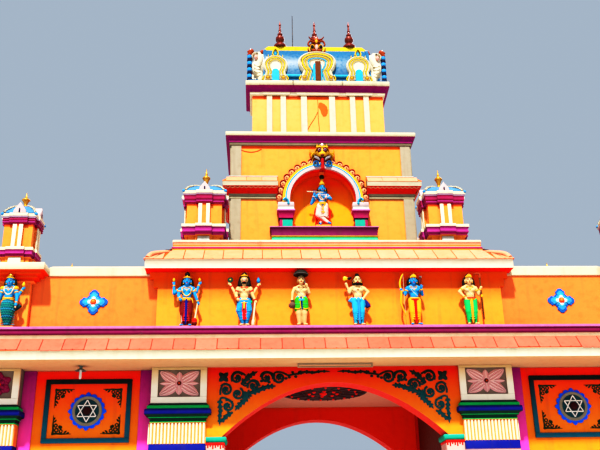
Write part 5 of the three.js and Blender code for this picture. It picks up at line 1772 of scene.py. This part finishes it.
    def crown(self, height, tall=0.075, half=0.052):
        """A gold front crown with points and a gem."""
        self.band(half, 0.066, [(0, height), (0.006, height + tall / 8), (0, height + tall / 4)], "gold",
                  0.004)
        for k in range(-3, 4):
            a = -pi / 2 + k * 0.42
            size = 0.017 - 0.002 * abs(k)
            point = [(size, 0), (size * 0.9, size), (size * 0.35, tall * (0.72 - 0.13 * abs(k))),
                     (0.001, tall * (0.85 - 0.14 * abs(k)))]
            place = moved(half * cos(a), 0.066 * sin(a) - 0.004, height + tall * 0.22)
            self.turn_on(point, 8, "gold", place)
        self.piece.add(ball(0.008, 0.006, 0.011, 8, 5), "red", moved(0, -0.078, height + tall * 0.3))

    def headband(self, height):
        """A gold band across the forehead, with a small point."""
        profile = [(0, height), (0.007, height + 0.006), (0.007, height + 0.016), (0, height + 0.022)]
        self.band(0.064, 0.068, profile, "gold", 0.002)
        self.bead(0, height + 0.03, (0.014, 0.01, 0.022), "gold")

    def jewels(self, finish="gold"):
        """Armlets, bracelets and a necklace."""
        for a, b, share, radius in self.rings:
            a, b = Vector(a), Vector(b)
            along = (b - a).normalized()
            middle = a + (b - a) * share
            path = [middle + along * far for far in (-0.01, -0.005, 0.005, 0.01)]
            self.piece.add(tube(path, lambda t: radius + 0.005 * (0.2 < t < 0.8), 12), finish)
        for half, drop, radius in ((0.04, 0.022, 0.006), (0.058, 0.06, 0.007)):
            self.drape([(-half, 0.806), (-half * 0.8, 0.8 - drop * 0.6), (0, 0.8 - drop),
                        (half * 0.8, 0.8 - drop * 0.6), (half, 0.806)], radius, finish)
        self.bead(0, 0.728, (0.014, 0.008, 0.018), finish)

    def sash(self, finish):
        self.cord([(0, -0.072, 0.55), (0.002, -0.078, 0.4), (0, -0.07, 0.24), (0, -0.06, 0.11)],
                  taper(0.021, 0.017), finish, 8, 5)

    def thread(self, finish="white"):
        self.drape([(-0.075, 0.8), (-0.05, 0.72), (0, 0.66), (0.055, 0.6)], 0.005, finish)

    def bar(self, a, b, ra, rb, finish):
        self.piece.add(limb(a, b, ra, rb, 12), finish)

    def build(self):
        self.piece.build(50)


def mace_bearer(s):
    s.torso()
    s.arm((-0.228, 0.02, 0.69), (-0.236, 0.04, 0.855))
    s.arm((0.165, 0.02, 0.715), (0.208, 0.04, 0.855))
    s.arm((0.15, -0.015, 0.64), (0.2, -0.025, 0.515), 0)
    s.arm((-0.145, -0.01, 0.645), (-0.112, -0.06, 0.57), 0)
    s.head()
    s.long_hair(top=1.075)
    s.bone((0, 0.01, 1.02), (0, 0, 1.075), 0.04, 0.018, "black")
    for side in (-1, 1):
        s.leg(side, "dark_red")
        stripe = [(side * 0.085, -0.04, 0.53), (side * 0.09, -0.044, 0.4), (side * 0.078, -0.04, 0.26),
                  (side * 0.066, -0.025, 0.15)]
        s.cord(stripe, 0.01, "white" if side < 0 else "dark_red", 6)
    s.folds("deep_red", 0.51, 0.16, 9)
    s.cord([(0, -0.07, 0.56), (0.002, -0.078, 0.42), (0, -0.07, 0.25), (0, -0.06, 0.1)],
           taper(0.021, 0.016), "blue", 8, 5)
    s.fuse()
    s.face()
    s.headband(0.955)
    s.jewels()
    s.girdle(0.58, 0.096, "gold", 0.034)
    s.girdle(0.556, 0.102, "gold", 0.02)
    s.drape([(-0.085, 0.79), (-0.075, 0.7), (-0.03, 0.63), (0, 0.62), (0.03, 0.63), (0.075, 0.7),
             (0.085, 0.79)], 0.011, "gold")
    s.drape([(0.09, 0.57), (0.105, 0.54), (0.112, 0.5)], 0.012, "gold")
    s.bead(0, 0.575, (0.02, 0.01, 0.02), "red")
    for x in (-0.24, 0.214):
        s.bar((x, 0.04, 0.93), (x, 0.04, 0.945), 0.02, 0.026, "gold")
        s.bar((x, 0.04, 0.96), (x, 0.04, 0.985), 0.024, 0.008, "gold")
    s.bar((0.2, -0.028, 0.525), (0.156, -0.04, 0.19), 0.013, 0.016, "cream")
    s.piece.add(lathe([(0.012, 0.2), (0.03, 0.18), (0.046, 0.15), (0.048, 0.12), (0.034, 0.095),
                       (0.014, 0.08)][::-1], 14), "brown", moved(0.152, -0.04, 0))
    for z in (0.14, 0.175):
        s.bar((0.152, -0.04, z), (0.152, -0.04, z + 0.004), 0.046, 0.046, "red")


def lion_faced(s):
    s.torso()
    s.arm((-0.145, 0.02, 0.665), (-0.243, 0.04, 0.845))
    s.arm((0.16, 0.02, 0.69), (0.242, 0.04, 0.835))
    s.arm((0.15, -0.01, 0.64), (0.194, -0.02, 0.54), 0)
    s.arm((-0.145, -0.01, 0.645), (-0.115, -0.055, 0.57), 0)
    s.lump((0, -0.004, 0.93), (0.066, 0.066, 0.07))
    s.lump((0, -0.05, 0.905), (0.044, 0.036, 0.034))
    s.lump((0, -0.08, 0.918), (0.02, 0.014, 0.012), "rose")
    s.lump((0, -0.05, 0.868), (0.04, 0.034, 0.022), "black")
    s.bone((-0.036, -0.062, 0.948), (0.036, -0.062, 0.948), 0.014, 0.014)
    s.lump((0, 0.012, 0.965), (0.082, 0.066, 0.07), "black")
    s.lump((0, 0.008, 1.025), (0.056, 0.05, 0.052), "black")
    for side in (-1, 1):
        for k in range(3):
            path = curve([(side * (0.062 + 0.006 * k), 0 + 0.018 * k, 0.98 - 0.01 * k),
                          (side * (0.076 + 0.006 * k), 0.005 + 0.012 * k, 0.88),
                          (side * (0.066 + 0.01 * k), -0.02 + 0.02 * k, 0.81)], 4)
            s.form(tube(path, taper(0.026, 0.036), 8), "black")
        s.lump((side * 0.06, -0.02, 0.995), (0.016, 0.012, 0.02), "black")
        s.cord([(side * 0.105, 0.03, 0.8), (side * 0.12, 0.02, 0.66), (side * 0.112, 0.01, 0.505)], 0.024,
               "black")
        knee = (side * 0.092, -0.04, 0.355)
        s.leg(side, "skin_blue", knee=knee, ankle=(side * 0.034 + 0.01, 0, 0.15))
    s.form(tube([(0, -0.04, 0.5), (0.004, -0.05, 0.38), (0.012, -0.04, 0.2)], taper(0.044, 0.032), 10),
           "red")
    s.fuse()
    for side in (-1, 1):
        s.bead(side * 0.028, 0.932, (0.015, 0.008, 0.012), "white")
        s.bead(side * 0.028, 0.932, (0.007, 0.007, 0.007), "black", -0.004)
        s.drape([(side * 0.01, 0.95), (side * 0.03, 0.958), (side * 0.05, 0.948)], 0.0045, "gold", 3)
        s.bead(side * 0.02, 0.888, (0.005, 0.006, 0.01), "white")
        s.drape([(side * 0.01, 0.902), (side * 0.028, 0.9), (side * 0.042, 0.912)], 0.004, "black", 3)
        for z in (0.46, 0.4, 0.34):
            s.drape([(side * 0.045, z + 0.01), (side * 0.082, z - 0.004), (side * 0.115, z + 0.012)],
                    0.0055, "cyan", 3)
        for z in (0.29, 0.24, 0.19):
            s.drape([(side * 0.026, z + 0.006), (side * 0.05, z - 0.002), (side * 0.074, z + 0.008)], 0.005,
                    "cyan", 3)
    s.bead(0, 0.88, (0.014, 0.014, 0.006), "red")
    s.headband(0.985)
    s.jewels("red")
    s.thread("cream")
    s.girdle(0.53, 0.108, "skin_blue", 0.05)
    s.girdle(0.556, 0.104, "gold", 0.016)
    s.girdle(0.5, 0.112, "gold", 0.016)
    s.drape([(0, 0.53), (0.002, 0.45), (0, 0.38)], 0.018, "gold")
    s.bead(-0.003, 0.365, (0.014, 0.01, 0.022), "dark_teal")
    s.bead(0.122, 0.52, (0.022, 0.014, 0.026), "green")
    wheel = moved(-0.25, 0.035, 0.945) @ Matrix.Rotation(pi / 2, 4, "X")
    s.turn_on([(0.012, -0.014), (0.03, -0.01), (0.046, -0.012), (0.05, 0), (0.046, 0.012), (0.03, 0.01),
               (0.012, 0.014)], 20, "dark_green", wheel)
    s.turn_on([(0.004, -0.02), (0.016, -0.012), (0.016, 0.012), (0.004, 0.02)], 12, "gold", wheel)
    conch = [(0.004, 0), (0.02, 0.012), (0.032, 0.035), (0.03, 0.055), (0.02, 0.08), (0.012, 0.105),
             (0.003, 0.118)]
    s.turn_on([(r, 0.88 + z) for r, z in conch], 14, "skin_blue", moved(0.25, 0.038, 0))
    s.bar((0.196, -0.022, 0.555), (0.152, -0.035, 0.085), 0.016, 0.02, "cream")
    s.bar((0.16, -0.034, 0.17), (0.153, -0.035, 0.1), 0.028, 0.03, "cream")


def umbrella_bearer(s):
    s.torso()
    s.arm((-0.15, 0, 0.69), (-0.163, -0.01, 0.58), 0)
    s.arm((0.14, 0, 0.688), (0.1, -0.04, 0.8), 0)
    s.head(0.92)
    s.lump((0, 0.022, 0.955), (0.066, 0.062, 0.07), "black")
    for side in (-1, 1):
        s.bone((side * 0.05, -0.004, 0.545), (side * 0.062, -0.012, 0.385), 0.073, 0.066, "lime")
        s.leg(side, "skin_cream", knee=(side * 0.052, -0.018, 0.3), ankle=(side * 0.044 + 0.006, 0, 0.13))
        s.bone((side * 0.05, -0.002, 0.585), (side * 0.06, 0, 0.56), 0.052, 0.058, "cyan")
    s.folds("lime", 0.54, 0.38, 4, depth=0.072, wide=0.112, narrow=0.118)
    s.fuse()
    s.face(0.92)
    s.thread()
    s.drape([(-0.06, 0.8), (0, 0.74), (0.065, 0.8)], 0.006, "brown")
    s.drape([(-0.045, 0.805), (0, 0.775), (0.045, 0.805)], 0.005, "brown")
    s.drape([(-0.01, 0.6), (0.006, 0.5), (0.014, 0.375)], 0.016, "blue")
    s.drape([(-0.03, 0.59), (-0.024, 0.5), (-0.02, 0.39)], 0.007, "gold")
    for side in (-1, 1):
        s.drape([(side * 0.03, 0.385), (side * 0.07, 0.372), (side * 0.112, 0.39)], 0.009, "gold", 3)
        s.drape([(side * 0.03, 0.47), (side * 0.07, 0.46), (side * 0.11, 0.475)], 0.006, "green", 3)
    for z in (0.56, 0.545):
        s.girdle(z, 0.104, "cyan", 0.022)
    canopy = [(0, 0), (0.118, 0), (0.132, 0.008), (0.134, 0.02), (0.122, 0.045), (0.095, 0.07),
              (0.055, 0.088), (0.012, 0.096), (0, 0.1)]
    s.turn_on([(r, 1.01 + z) for r, z in canopy], 24, "dark_shade", moved(0, -0.005, 0))
    for k in range(12):
        a = 2 * pi * k / 12
        rib = [(0.13 * f * cos(a), -0.005 + 0.13 * f * sin(a), 1.018 + 0.094 * sqrt(max(1 - f * f, 0)))
               for f in (0.2, 0.4, 0.6, 0.8, 0.93, 1)]
        s.piece.add(tube(rib, 0.004, 5), "black")
    s.piece.add(tube([(0.133 * cos(a), -0.005 + 0.133 * sin(a), 1.024)
                      for a in (2 * pi * k / 24 for k in range(25))], 0.0035, 6), "steel_grey")
    s.bar((0.1, -0.045, 0.775), (0.02, -0.01, 1.02), 0.009, 0.009, "steel_grey")
    pot_shape = [(0.01, 0), (0.034, 0.008), (0.05, 0.034), (0.05, 0.06), (0.034, 0.082), (0.02, 0.094),
                 (0.02, 0.108), (0.03, 0.118), (0.026, 0.122), (0.006, 0.112)]
    s.turn_on([(r * 1.3, 0.4 + z * 1.2) for r, z in pot_shape], 18, "brown_grey", moved(-0.163, -0.01, 0))
    s.piece.add(tube([(-0.163 + 0.03 * cos(a), -0.01, 0.535 + 0.05 * sin(a))
                      for a in (pi * k / 8 for k in range(9))], 0.005, 6), "brown_grey")
    s.bar((-0.163, -0.06, 0.476), (-0.163, -0.064, 0.476), 0.01, 0.01, "brown_grey")


def bearded_head(s):
    s.head()
    s.lump((0, 0.022, 0.95), (0.068, 0.062, 0.072), "black")
    s.lump((0, 0.01, 1.02), (0.04, 0.04, 0.034), "black")
    s.lump((0, -0.04, 0.85), (0.05, 0.04, 0.036), "black")
    for side in (-1, 1):
        s.bone((side * 0.054, -0.018, 0.905), (side * 0.06, -0.02, 0.845), 0.017, 0.026, "black")
        s.bone((side * 0.062, 0.018, 0.93), (side * 0.074, 0.014, 0.845), 0.022, 0.026, "black")


def axe_bearer(s):
    s.torso()
    s.arm((-0.152, 0, 0.685), (-0.196, -0.02, 0.815), 0)
    s.arm((0.186, 0, 0.7), (0.098, -0.03, 0.58), 0)
    bearded_head(s)
    for side in (-1, 1):
        s.leg(side, "cyan")
    s.folds("cyan", 0.52, 0.17, 9)
    s.cord([(0, -0.074, 0.55), (0.004, -0.08, 0.4), (0.004, -0.072, 0.24), (0.008, -0.064, 0.1)],
           taper(0.022, 0.018), "sky", 8, 5)
    s.cord([(0.105, 0, 0.56), (0.15, 0, 0.5), (0.178, 0, 0.42)], taper(0.02, 0.05), "dark_blue")
    s.cord([(-0.105, 0, 0.6), (-0.135, 0, 0.56), (-0.155, 0, 0.52)], taper(0.014, 0.032), "sky")
    s.fuse()
    s.face()
    s.drape([(-0.02, 0.858), (0, 0.867), (0.02, 0.858)], 0.005, "black", 3)
    s.thread()
    s.drape([(-0.065, 0.8), (-0.045, 0.76), (0, 0.735), (0.045, 0.76), (0.065, 0.8)], 0.007, "cream")
    s.bead(0, 0.728, (0.014, 0.01, 0.018), "brown")
    for z in (0.556, 0.54):
        s.girdle(z, 0.104, "cyan", 0.022)
    s.bead(0, 0.56, (0.03, 0.014, 0.026), "sky")
    s.bar((-0.196, -0.022, 0.735), (-0.204, -0.022, 0.955), 0.01, 0.01, "wood")
    blade = [(-0.045, -0.012), (-0.02, -0.03), (0.045, -0.05), (0.062, -0.02), (0.056, 0.02), (0.03, 0.04),
             (-0.02, 0.02), (-0.045, 0.012)]
    head = moved(-0.2, -0.022, 0.95) @ wall() @ flipped(-1)
    s.piece.add(plate(blade, -0.01, 0.01, 0.006), "gold", head)
    s.bar((-0.16, -0.022, 0.945), (-0.118, -0.022, 0.96), 0.024, 0.02, "black")


def bow_bearer(s):
    s.torso()
    s.arm((-0.16, 0, 0.65), (-0.216, -0.025, 0.715), 0)
    s.arm((0.15, 0, 0.65), (0.13, -0.06, 0.745))
    s.head()
    s.long_hair()
    for side in (-1, 1):
        s.leg(side, "gold")
    s.folds("gold", 0.52, 0.17, 9)
    s.sash("red")
    s.fuse()
    s.face()
    s.crown(0.945)
    s.jewels()
    s.thread()
    s.girdle(0.575, 0.098, "gold", 0.03)
    s.girdle(0.552, 0.104, "red", 0.018)
    bow = curve([(-0.176, -0.03, 0.27), (-0.214, -0.03, 0.36), (-0.25, -0.03, 0.5), (-0.23, -0.03, 0.68),
                 (-0.25, -0.03, 0.84), (-0.216, -0.03, 0.97), (-0.18, -0.03, 1.03)], 5)
    s.piece.add(tube(bow, swollen(0.008, 0.01), 8), "gold")
    s.bar((-0.18, -0.03, 0.29), (-0.184, -0.03, 1.02), 0.0025, 0.0025, "cream")
    s.bar((0.09, 0.055, 0.72), (0.14, 0.055, 0.96), 0.026, 0.03, "brown")
    for k in range(3):
        s.bar((0.13 + 0.012 * k, 0.055, 0.95), (0.138 + 0.014 * k, 0.055, 1.01), 0.005, 0.01, "white")


def plough_bearer(s):
    s.torso()
    s.arm((0.158, 0, 0.65), (0.196, -0.025, 0.745), 0)
    s.arm((-0.186, 0, 0.7), (-0.098, -0.03, 0.58), 0)
    s.head()
    s.long_hair(low=0.8)
    for side in (-1, 1):
        s.leg(side, "green")
    s.folds("green", 0.52, 0.17, 9)
    s.sash("gold")
    s.fuse()
    s.face()
    s.crown(0.945)
    s.jewels()
    s.thread()
    s.girdle(0.575, 0.098, "red", 0.03)
    s.girdle(0.552, 0.104, "gold", 0.018)
    s.bar((0.206, -0.03, 0.19), (0.2, -0.03, 0.97), 0.014, 0.017, "wood")
    s.piece.add(tube(curve([(0.205, -0.03, 0.95), (0.2, -0.03, 1.02), (0.15, -0.03, 1.035),
                            (0.1, -0.03, 1.02)], 5), taper(0.026, 0.008), 10), "wood_red")
    s.bar((0.206, -0.03, 0.6), (0.206, -0.03, 0.62), 0.022, 0.022, "gold")


def fish_tailed(s):
    s.torso()
    for side in (-1, 1):
        s.arm((side * 0.136, 0.01, 0.59), (side * 0.216, 0.02, 0.755))
        s.arm((side * 0.15, -0.01, 0.6), (side * 0.152, -0.04, 0.49), 0)
        s.lump((side * 0.112, 0, 0.772), (0.052, 0.046, 0.04), "gold")
    s.head(0.892)
    s.long_hair(0.892, low=0.77, top=1.03)
    s.cord([(0, -0.004, 0.545), (0.004, -0.012, 0.46), (0.014, -0.014, 0.32), (0.03, -0.008, 0.18),
            (0.034, 0, 0.085)], lambda t: 0.09 + 0.034 * sin(pi * min(t * 1.3, 1)) - 0.034 * t * t, "fish",
           18, 5)
    s.cord([(0.085, 0.02, 0.4), (0.15, 0.02, 0.42), (0.215, 0.02, 0.475)], taper(0.046, 0.034), "dark_teal",
           10)
    s.fuse()
    s.face(0.892)
    s.headband(0.945)
    s.turn_on([(0.046, 0.985), (0.05, 1), (0.036, 1.03), (0.018, 1.05), (0.006, 1.075)], 16, "brass")
    s.jewels()
    s.drape([(-0.085, 0.79), (-0.065, 0.7), (0, 0.645), (0.065, 0.7), (0.085, 0.79)], 0.011, "cream")
    s.girdle(0.585, 0.092, "gold", 0.034)
    s.girdle(0.56, 0.1, "gold", 0.018)
    for row in range(10):
        z = 0.505 - 0.042 * row
        count = 7
        for k in range(count):
            a = -pi / 2 + (k - (count - 1) / 2 + 0.5 * (row % 2)) * 0.36
            x = 0.01 + 0.002 * row + 0.112 * cos(a)
            s.drape([(x - 0.016, z + 0.008), (x, z - 0.012), (x + 0.016, z + 0.008)], 0.0045,
                    "cyan" if row % 3 == 0 else "teal", 2)
    for side in (-1, 1):
        conch = [(0.004, 0), (0.02, 0.012), (0.03, 0.035), (0.024, 0.06), (0.012, 0.085), (0.003, 0.098)]
        s.turn_on([(r, 0.8 + z) for r, z in conch], 14, "gold", moved(side * 0.232, 0.015, 0))
        s.bar((side * 0.152, -0.045, 0.5), (side * 0.148, -0.045, 0.42), 0.01, 0.016, "cream")


def flute_player(s):
    s.torso()
    s.arm((-0.232, -0.02, 0.57), (-0.18, -0.075, 0.735))
    s.arm((0.176, -0.02, 0.685), (0.06, -0.085, 0.69), 0)
    s.head(0.925)
    s.lump((0, 0.022, 0.955), (0.07, 0.064, 0.072), "black")
    for side in (-1, 1):
        path = curve([(side * 0.06, 0.02, 0.96), (side * 0.08, 0.026, 0.88), (side * 0.088, 0.024, 0.8)], 4)
        s.form(tube(path, swollen(0.022, 0.014), 8), "black")
    s.lump((0, 0.005, 1.195), (0.054, 0.05, 0.056), "black")
    s.bone((0, 0.01, 1), (0, 0.006, 1.12), 0.052, 0.03, "gold")
    s.bone((-0.05, 0, 0.53), (-0.105, -0.03, 0.315), 0.074, 0.056, "pale_cloth")
    s.bone((-0.105, -0.03, 0.315), (0.085, -0.055, 0.15), 0.052, 0.036, "pale_cloth")
    s.bone((0.09, -0.058, 0.15), (0.145, -0.08, 0.11), 0.026, 0.02)
    s.bone((0.05, 0, 0.53), (0.05, -0.01, 0.32), 0.074, 0.056, "pale_cloth")
    s.bone((0.05, -0.01, 0.32), (-0.045, 0, 0.155), 0.052, 0.036, "pale_cloth")
    s.foot((-0.058, 0, 0.14))
    for k in range(7):
        share = k / 6
        s.cord([(-0.12 + 0.03 * share, -0.06, 0.5 - 0.19 * share), (-0.04, -0.088, 0.46 - 0.19 * share),
                (0.03, -0.078, 0.44 - 0.17 * share)], 0.01, "pale_cloth", 6, 3)
        s.cord([(0.02, -0.078, 0.48 - 0.19 * share), (0.075, -0.07, 0.45 - 0.19 * share),
                (0.115, -0.03, 0.44 - 0.19 * share)], 0.01, "pale_cloth", 6, 3)
    s.cord([(-0.148, -0.035, 0.28), (-0.08, -0.085, 0.2), (0.06, -0.088, 0.115)], 0.015, "red", 8, 5)
    for side in (-1, 1):
        s.cord([(side * 0.1, 0.03, 0.56), (side * 0.15, 0.04, 0.42), (side * 0.13, 0.05, 0.24),
                (side * 0.15, 0.05, 0.12)], swollen(0.016, 0.012), "red", 8, 5)
    s.fuse()
    s.face(0.925)
    s.crown(0.985, tall=0.1, half=0.056)
    s.jewels("pale_cloth")
    s.drape([(-0.085, 0.79), (-0.065, 0.7), (0, 0.64), (0.065, 0.7), (0.085, 0.79)], 0.013, "pale_cloth")
    s.drape([(-0.08, 0.76), (-0.03, 0.7), (0.04, 0.62)], 0.009, "gold")
    s.girdle(0.59, 0.094, "gold", 0.036)
    s.girdle(0.56, 0.102, "gold", 0.02)
    s.drape([(-0.07, 0.55), (-0.02, 0.49), (0, 0.4), (0, 0.33)], 0.011, "gold")
    s.drape([(0.06, 0.55), (0.02, 0.49), (0, 0.4)], 0.01, "gold")
    for x, z in ((0, 0.34), (-0.024, 0.36), (0.024, 0.36)):
        s.bead(x, z, (0.014, 0.01, 0.016), "gold")
    s.bar((-0.318, -0.1, 0.815), (0.03, -0.1, 0.7927), 0.011, 0.011, "cream")
    for k in range(5):
        x = -0.28 + k * 0.045
        s.bar((x, -0.111, 0.8135 - 0.064 * (x + 0.318)), (x, -0.112, 0.8135 - 0.064 * (x + 0.318)), 0.005,
              0.005, "brown")
    for k in range(4):
        s.bar((-0.19 + 0.017 * k, -0.095, 0.8), (-0.19 + 0.017 * k, -0.114, 0.822), 0.008, 0.007, s.skin)
        s.bar((0.02 + 0.017 * k, -0.095, 0.77), (0.02 + 0.017 * k, -0.114, 0.8), 0.008, 0.007, s.skin)


ON_LEDGE = ("mace_bearer", "lion_faced", "umbrella_bearer", "axe_bearer", "bow_bearer", "plough_bearer")
FOOT = {label: ((i - 2.5) * 1.01 - 0.04, -2.5, LEDGE_TOP) for i, label in enumerate(ON_LEDGE)}
FOOT.update(left_end=(-5.64, -2.54, LEDGE_TOP), right_end=(5.64, -2.54, LEDGE_TOP),
            niche=(TOWER_AT, -0.825, 7.68))


def figures():
    row = (("mace_bearer", mace_bearer, "skin_blue"), ("lion_faced", lion_faced, "skin_cream"),
           ("umbrella_bearer", umbrella_bearer, "skin_cream"), ("axe_bearer", axe_bearer, "skin_cream"),
           ("bow_bearer", bow_bearer, "skin_blue"), ("plough_bearer", plough_bearer, "skin_cream"),
           ("left_end", fish_tailed, "skin_blue"), ("right_end", fish_tailed, "skin_blue"),
           ("niche", flute_player, "skin_blue"))
    for label, make, skin in row:
        node = f"{label}_figure"
        slot = "blue_plaster" if skin == "skin_blue" else "pale_stucco"
        statue = Statue(f"{label}_statue", node, slot, FOOT[label], skin, 0.055 if label == "niche" else 0)
        make(statue)
        statue.build()


# Lamps under the main cornice

def lamps():
    piece = Piece("bay_bulb_lamp", "white_fitting", ["bay_lamp"])
    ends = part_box("bay_lamp")
    centre = moved((ends[0].x + ends[1].x) / 2, (ends[0].y + ends[1].y) / 2, SOFFIT)
    piece.add(lathe([(0.03, 0), (0.03, -0.02), (0.022, -0.04), (0.05, -0.055), (0.094, -0.08),
                     (0.097, -0.085), (0.09, -0.086), (0.045, -0.064), (0.018, -0.06)][::-1], 24),
              "lamp_shade", centre)
    ring(piece, "enamel", centre @ moved(0, 0, -0.086) @ flipped(z=-1), 0.093, 0.006, 0.004, 24)
    piece.add(lathe([(0.008, -0.222), (0.02, -0.21), (0.023, -0.19), (0.023, -0.09), (0.018, -0.06)], 16),
              "enamel", centre)
    piece.build()
    light = Piece("strip_light", "white_fitting", ["tube_light"])
    light.add(block(-0.64, 0.65, -2.66, -2.62, SOFFIT - 0.025, SOFFIT, 0.004), "fitting")
    for a, b in ((-0.64, -0.61), (0.62, 0.65)):
        light.add(block(a, b, -2.655, -2.625, SOFFIT - 0.075, SOFFIT - 0.02, 0.005), "fitting")
    light.add(limb((-0.62, -2.64, SOFFIT - 0.063), (0.63, -2.64, SOFFIT - 0.063), 0.012, 0.012, 12),
              "fitting")
    light.build()


# Light, camera and floor

CONTRAST = [(0.06, 0.032), (0.15, 0.105), (0.3, 0.29), (0.5, 0.57), (0.75, 0.84)]


def studio():
    scene = bpy.context.scene
    scene.view_settings.view_transform = "Standard"
    scene.view_settings.use_curve_mapping = True
    curves = scene.view_settings.curve_mapping
    for light, shown in CONTRAST:
        curves.curves[3].points.new(light, shown)
    curves.update()
    world = bpy.data.worlds.new("studio")
    scene.world = world
    world.use_nodes = True
    world.node_tree.nodes["Background"].inputs["Color"].default_value = (0.72, 0.84, 1, 1)
    world.node_tree.nodes["Background"].inputs["Strength"].default_value = 0.5
    sun = bpy.data.lights.new("sun", "SUN")
    sun.energy = 8.5
    sun.angle = radians(3)
    sun.color = (1, 0.96, 0.88)
    lamp = bpy.data.objects.new("sun", sun)
    lamp.rotation_euler = Vector((0.2, 1, -1.47)).to_track_quat("-Z", "Y").to_euler()
    scene.collection.objects.link(lamp)
    fill = bpy.data.lights.new("fill", "SUN")
    fill.energy = 1.6
    fill.angle = radians(40)
    other = bpy.data.objects.new("fill", fill)
    other.rotation_euler = Vector((-0.6, -1, -0.9)).to_track_quat("-Z", "Y").to_euler()
    scene.collection.objects.link(other)
    glow = bpy.data.lights.new("passage_glow", "AREA")
    glow.energy = 64
    glow.shape = "RECTANGLE"
    glow.size, glow.size_y = 3.4, 3
    glow.color = (1, 0.9, 0.8)
    low = bpy.data.objects.new("passage_glow", glow)
    low.location = (1.1, 0.1, 1.2)
    low.rotation_euler = (pi, 0, 0)
    low.visible_camera = False
    scene.collection.objects.link(low)


def camera():
    scene = bpy.context.scene
    made = bpy.data.objects.new("camera", bpy.data.cameras.new("camera"))
    scene.collection.objects.link(made)
    made.data.lens = 48.72
    made.data.sensor_width = 36
    made.data.clip_end = 300
    pitch, yaw, roll = radians(21.9), radians(3.15), radians(-1.1)
    ahead = Vector((sin(yaw) * cos(pitch), cos(yaw) * cos(pitch), sin(pitch)))
    right = Vector((cos(yaw), -sin(yaw), 0))
    up = right.cross(ahead)
    across = right * cos(roll) + up * sin(roll)
    upright = up * cos(roll) - right * sin(roll)
    turn = Matrix((across, upright, -ahead)).transposed().to_4x4()
    made.matrix_world = moved(-1.304, -16.32, 1.6) @ turn
    scene.camera = made


def floor():
    mesh = bpy.data.meshes.new("floor")
    half = 60
    mesh.from_pydata([(-half, -half, 0), (half, -half, 0), (half, half, 0), (-half, half, 0)], [],
                     [(0, 1, 2, 3)])
    graph = Graph("floor_grey")
    shade = graph.mix(graph.span(graph.noise(2, 2), 0.3, 0.7), linear("#a9a7a3"), linear("#b0aeaa"))
    mesh.materials.append(graph.shade(Base_Color=shade, Roughness=0.8))
    made = bpy.data.objects.new("floor", mesh)
    bpy.context.scene.collection.objects.link(made)


camera()
studio()
floor()
ground_storey()
main_cornice()
ceiling_rose()
parapets()
upper_cornice()
tower_walls()
middle_cornice()
tower_cap()
niche_ledge()
niche_arch()
top_storey()
painted_shadows_and_cracks()
wagon_roof()
end_gables()
finials()
figures()
lamps()
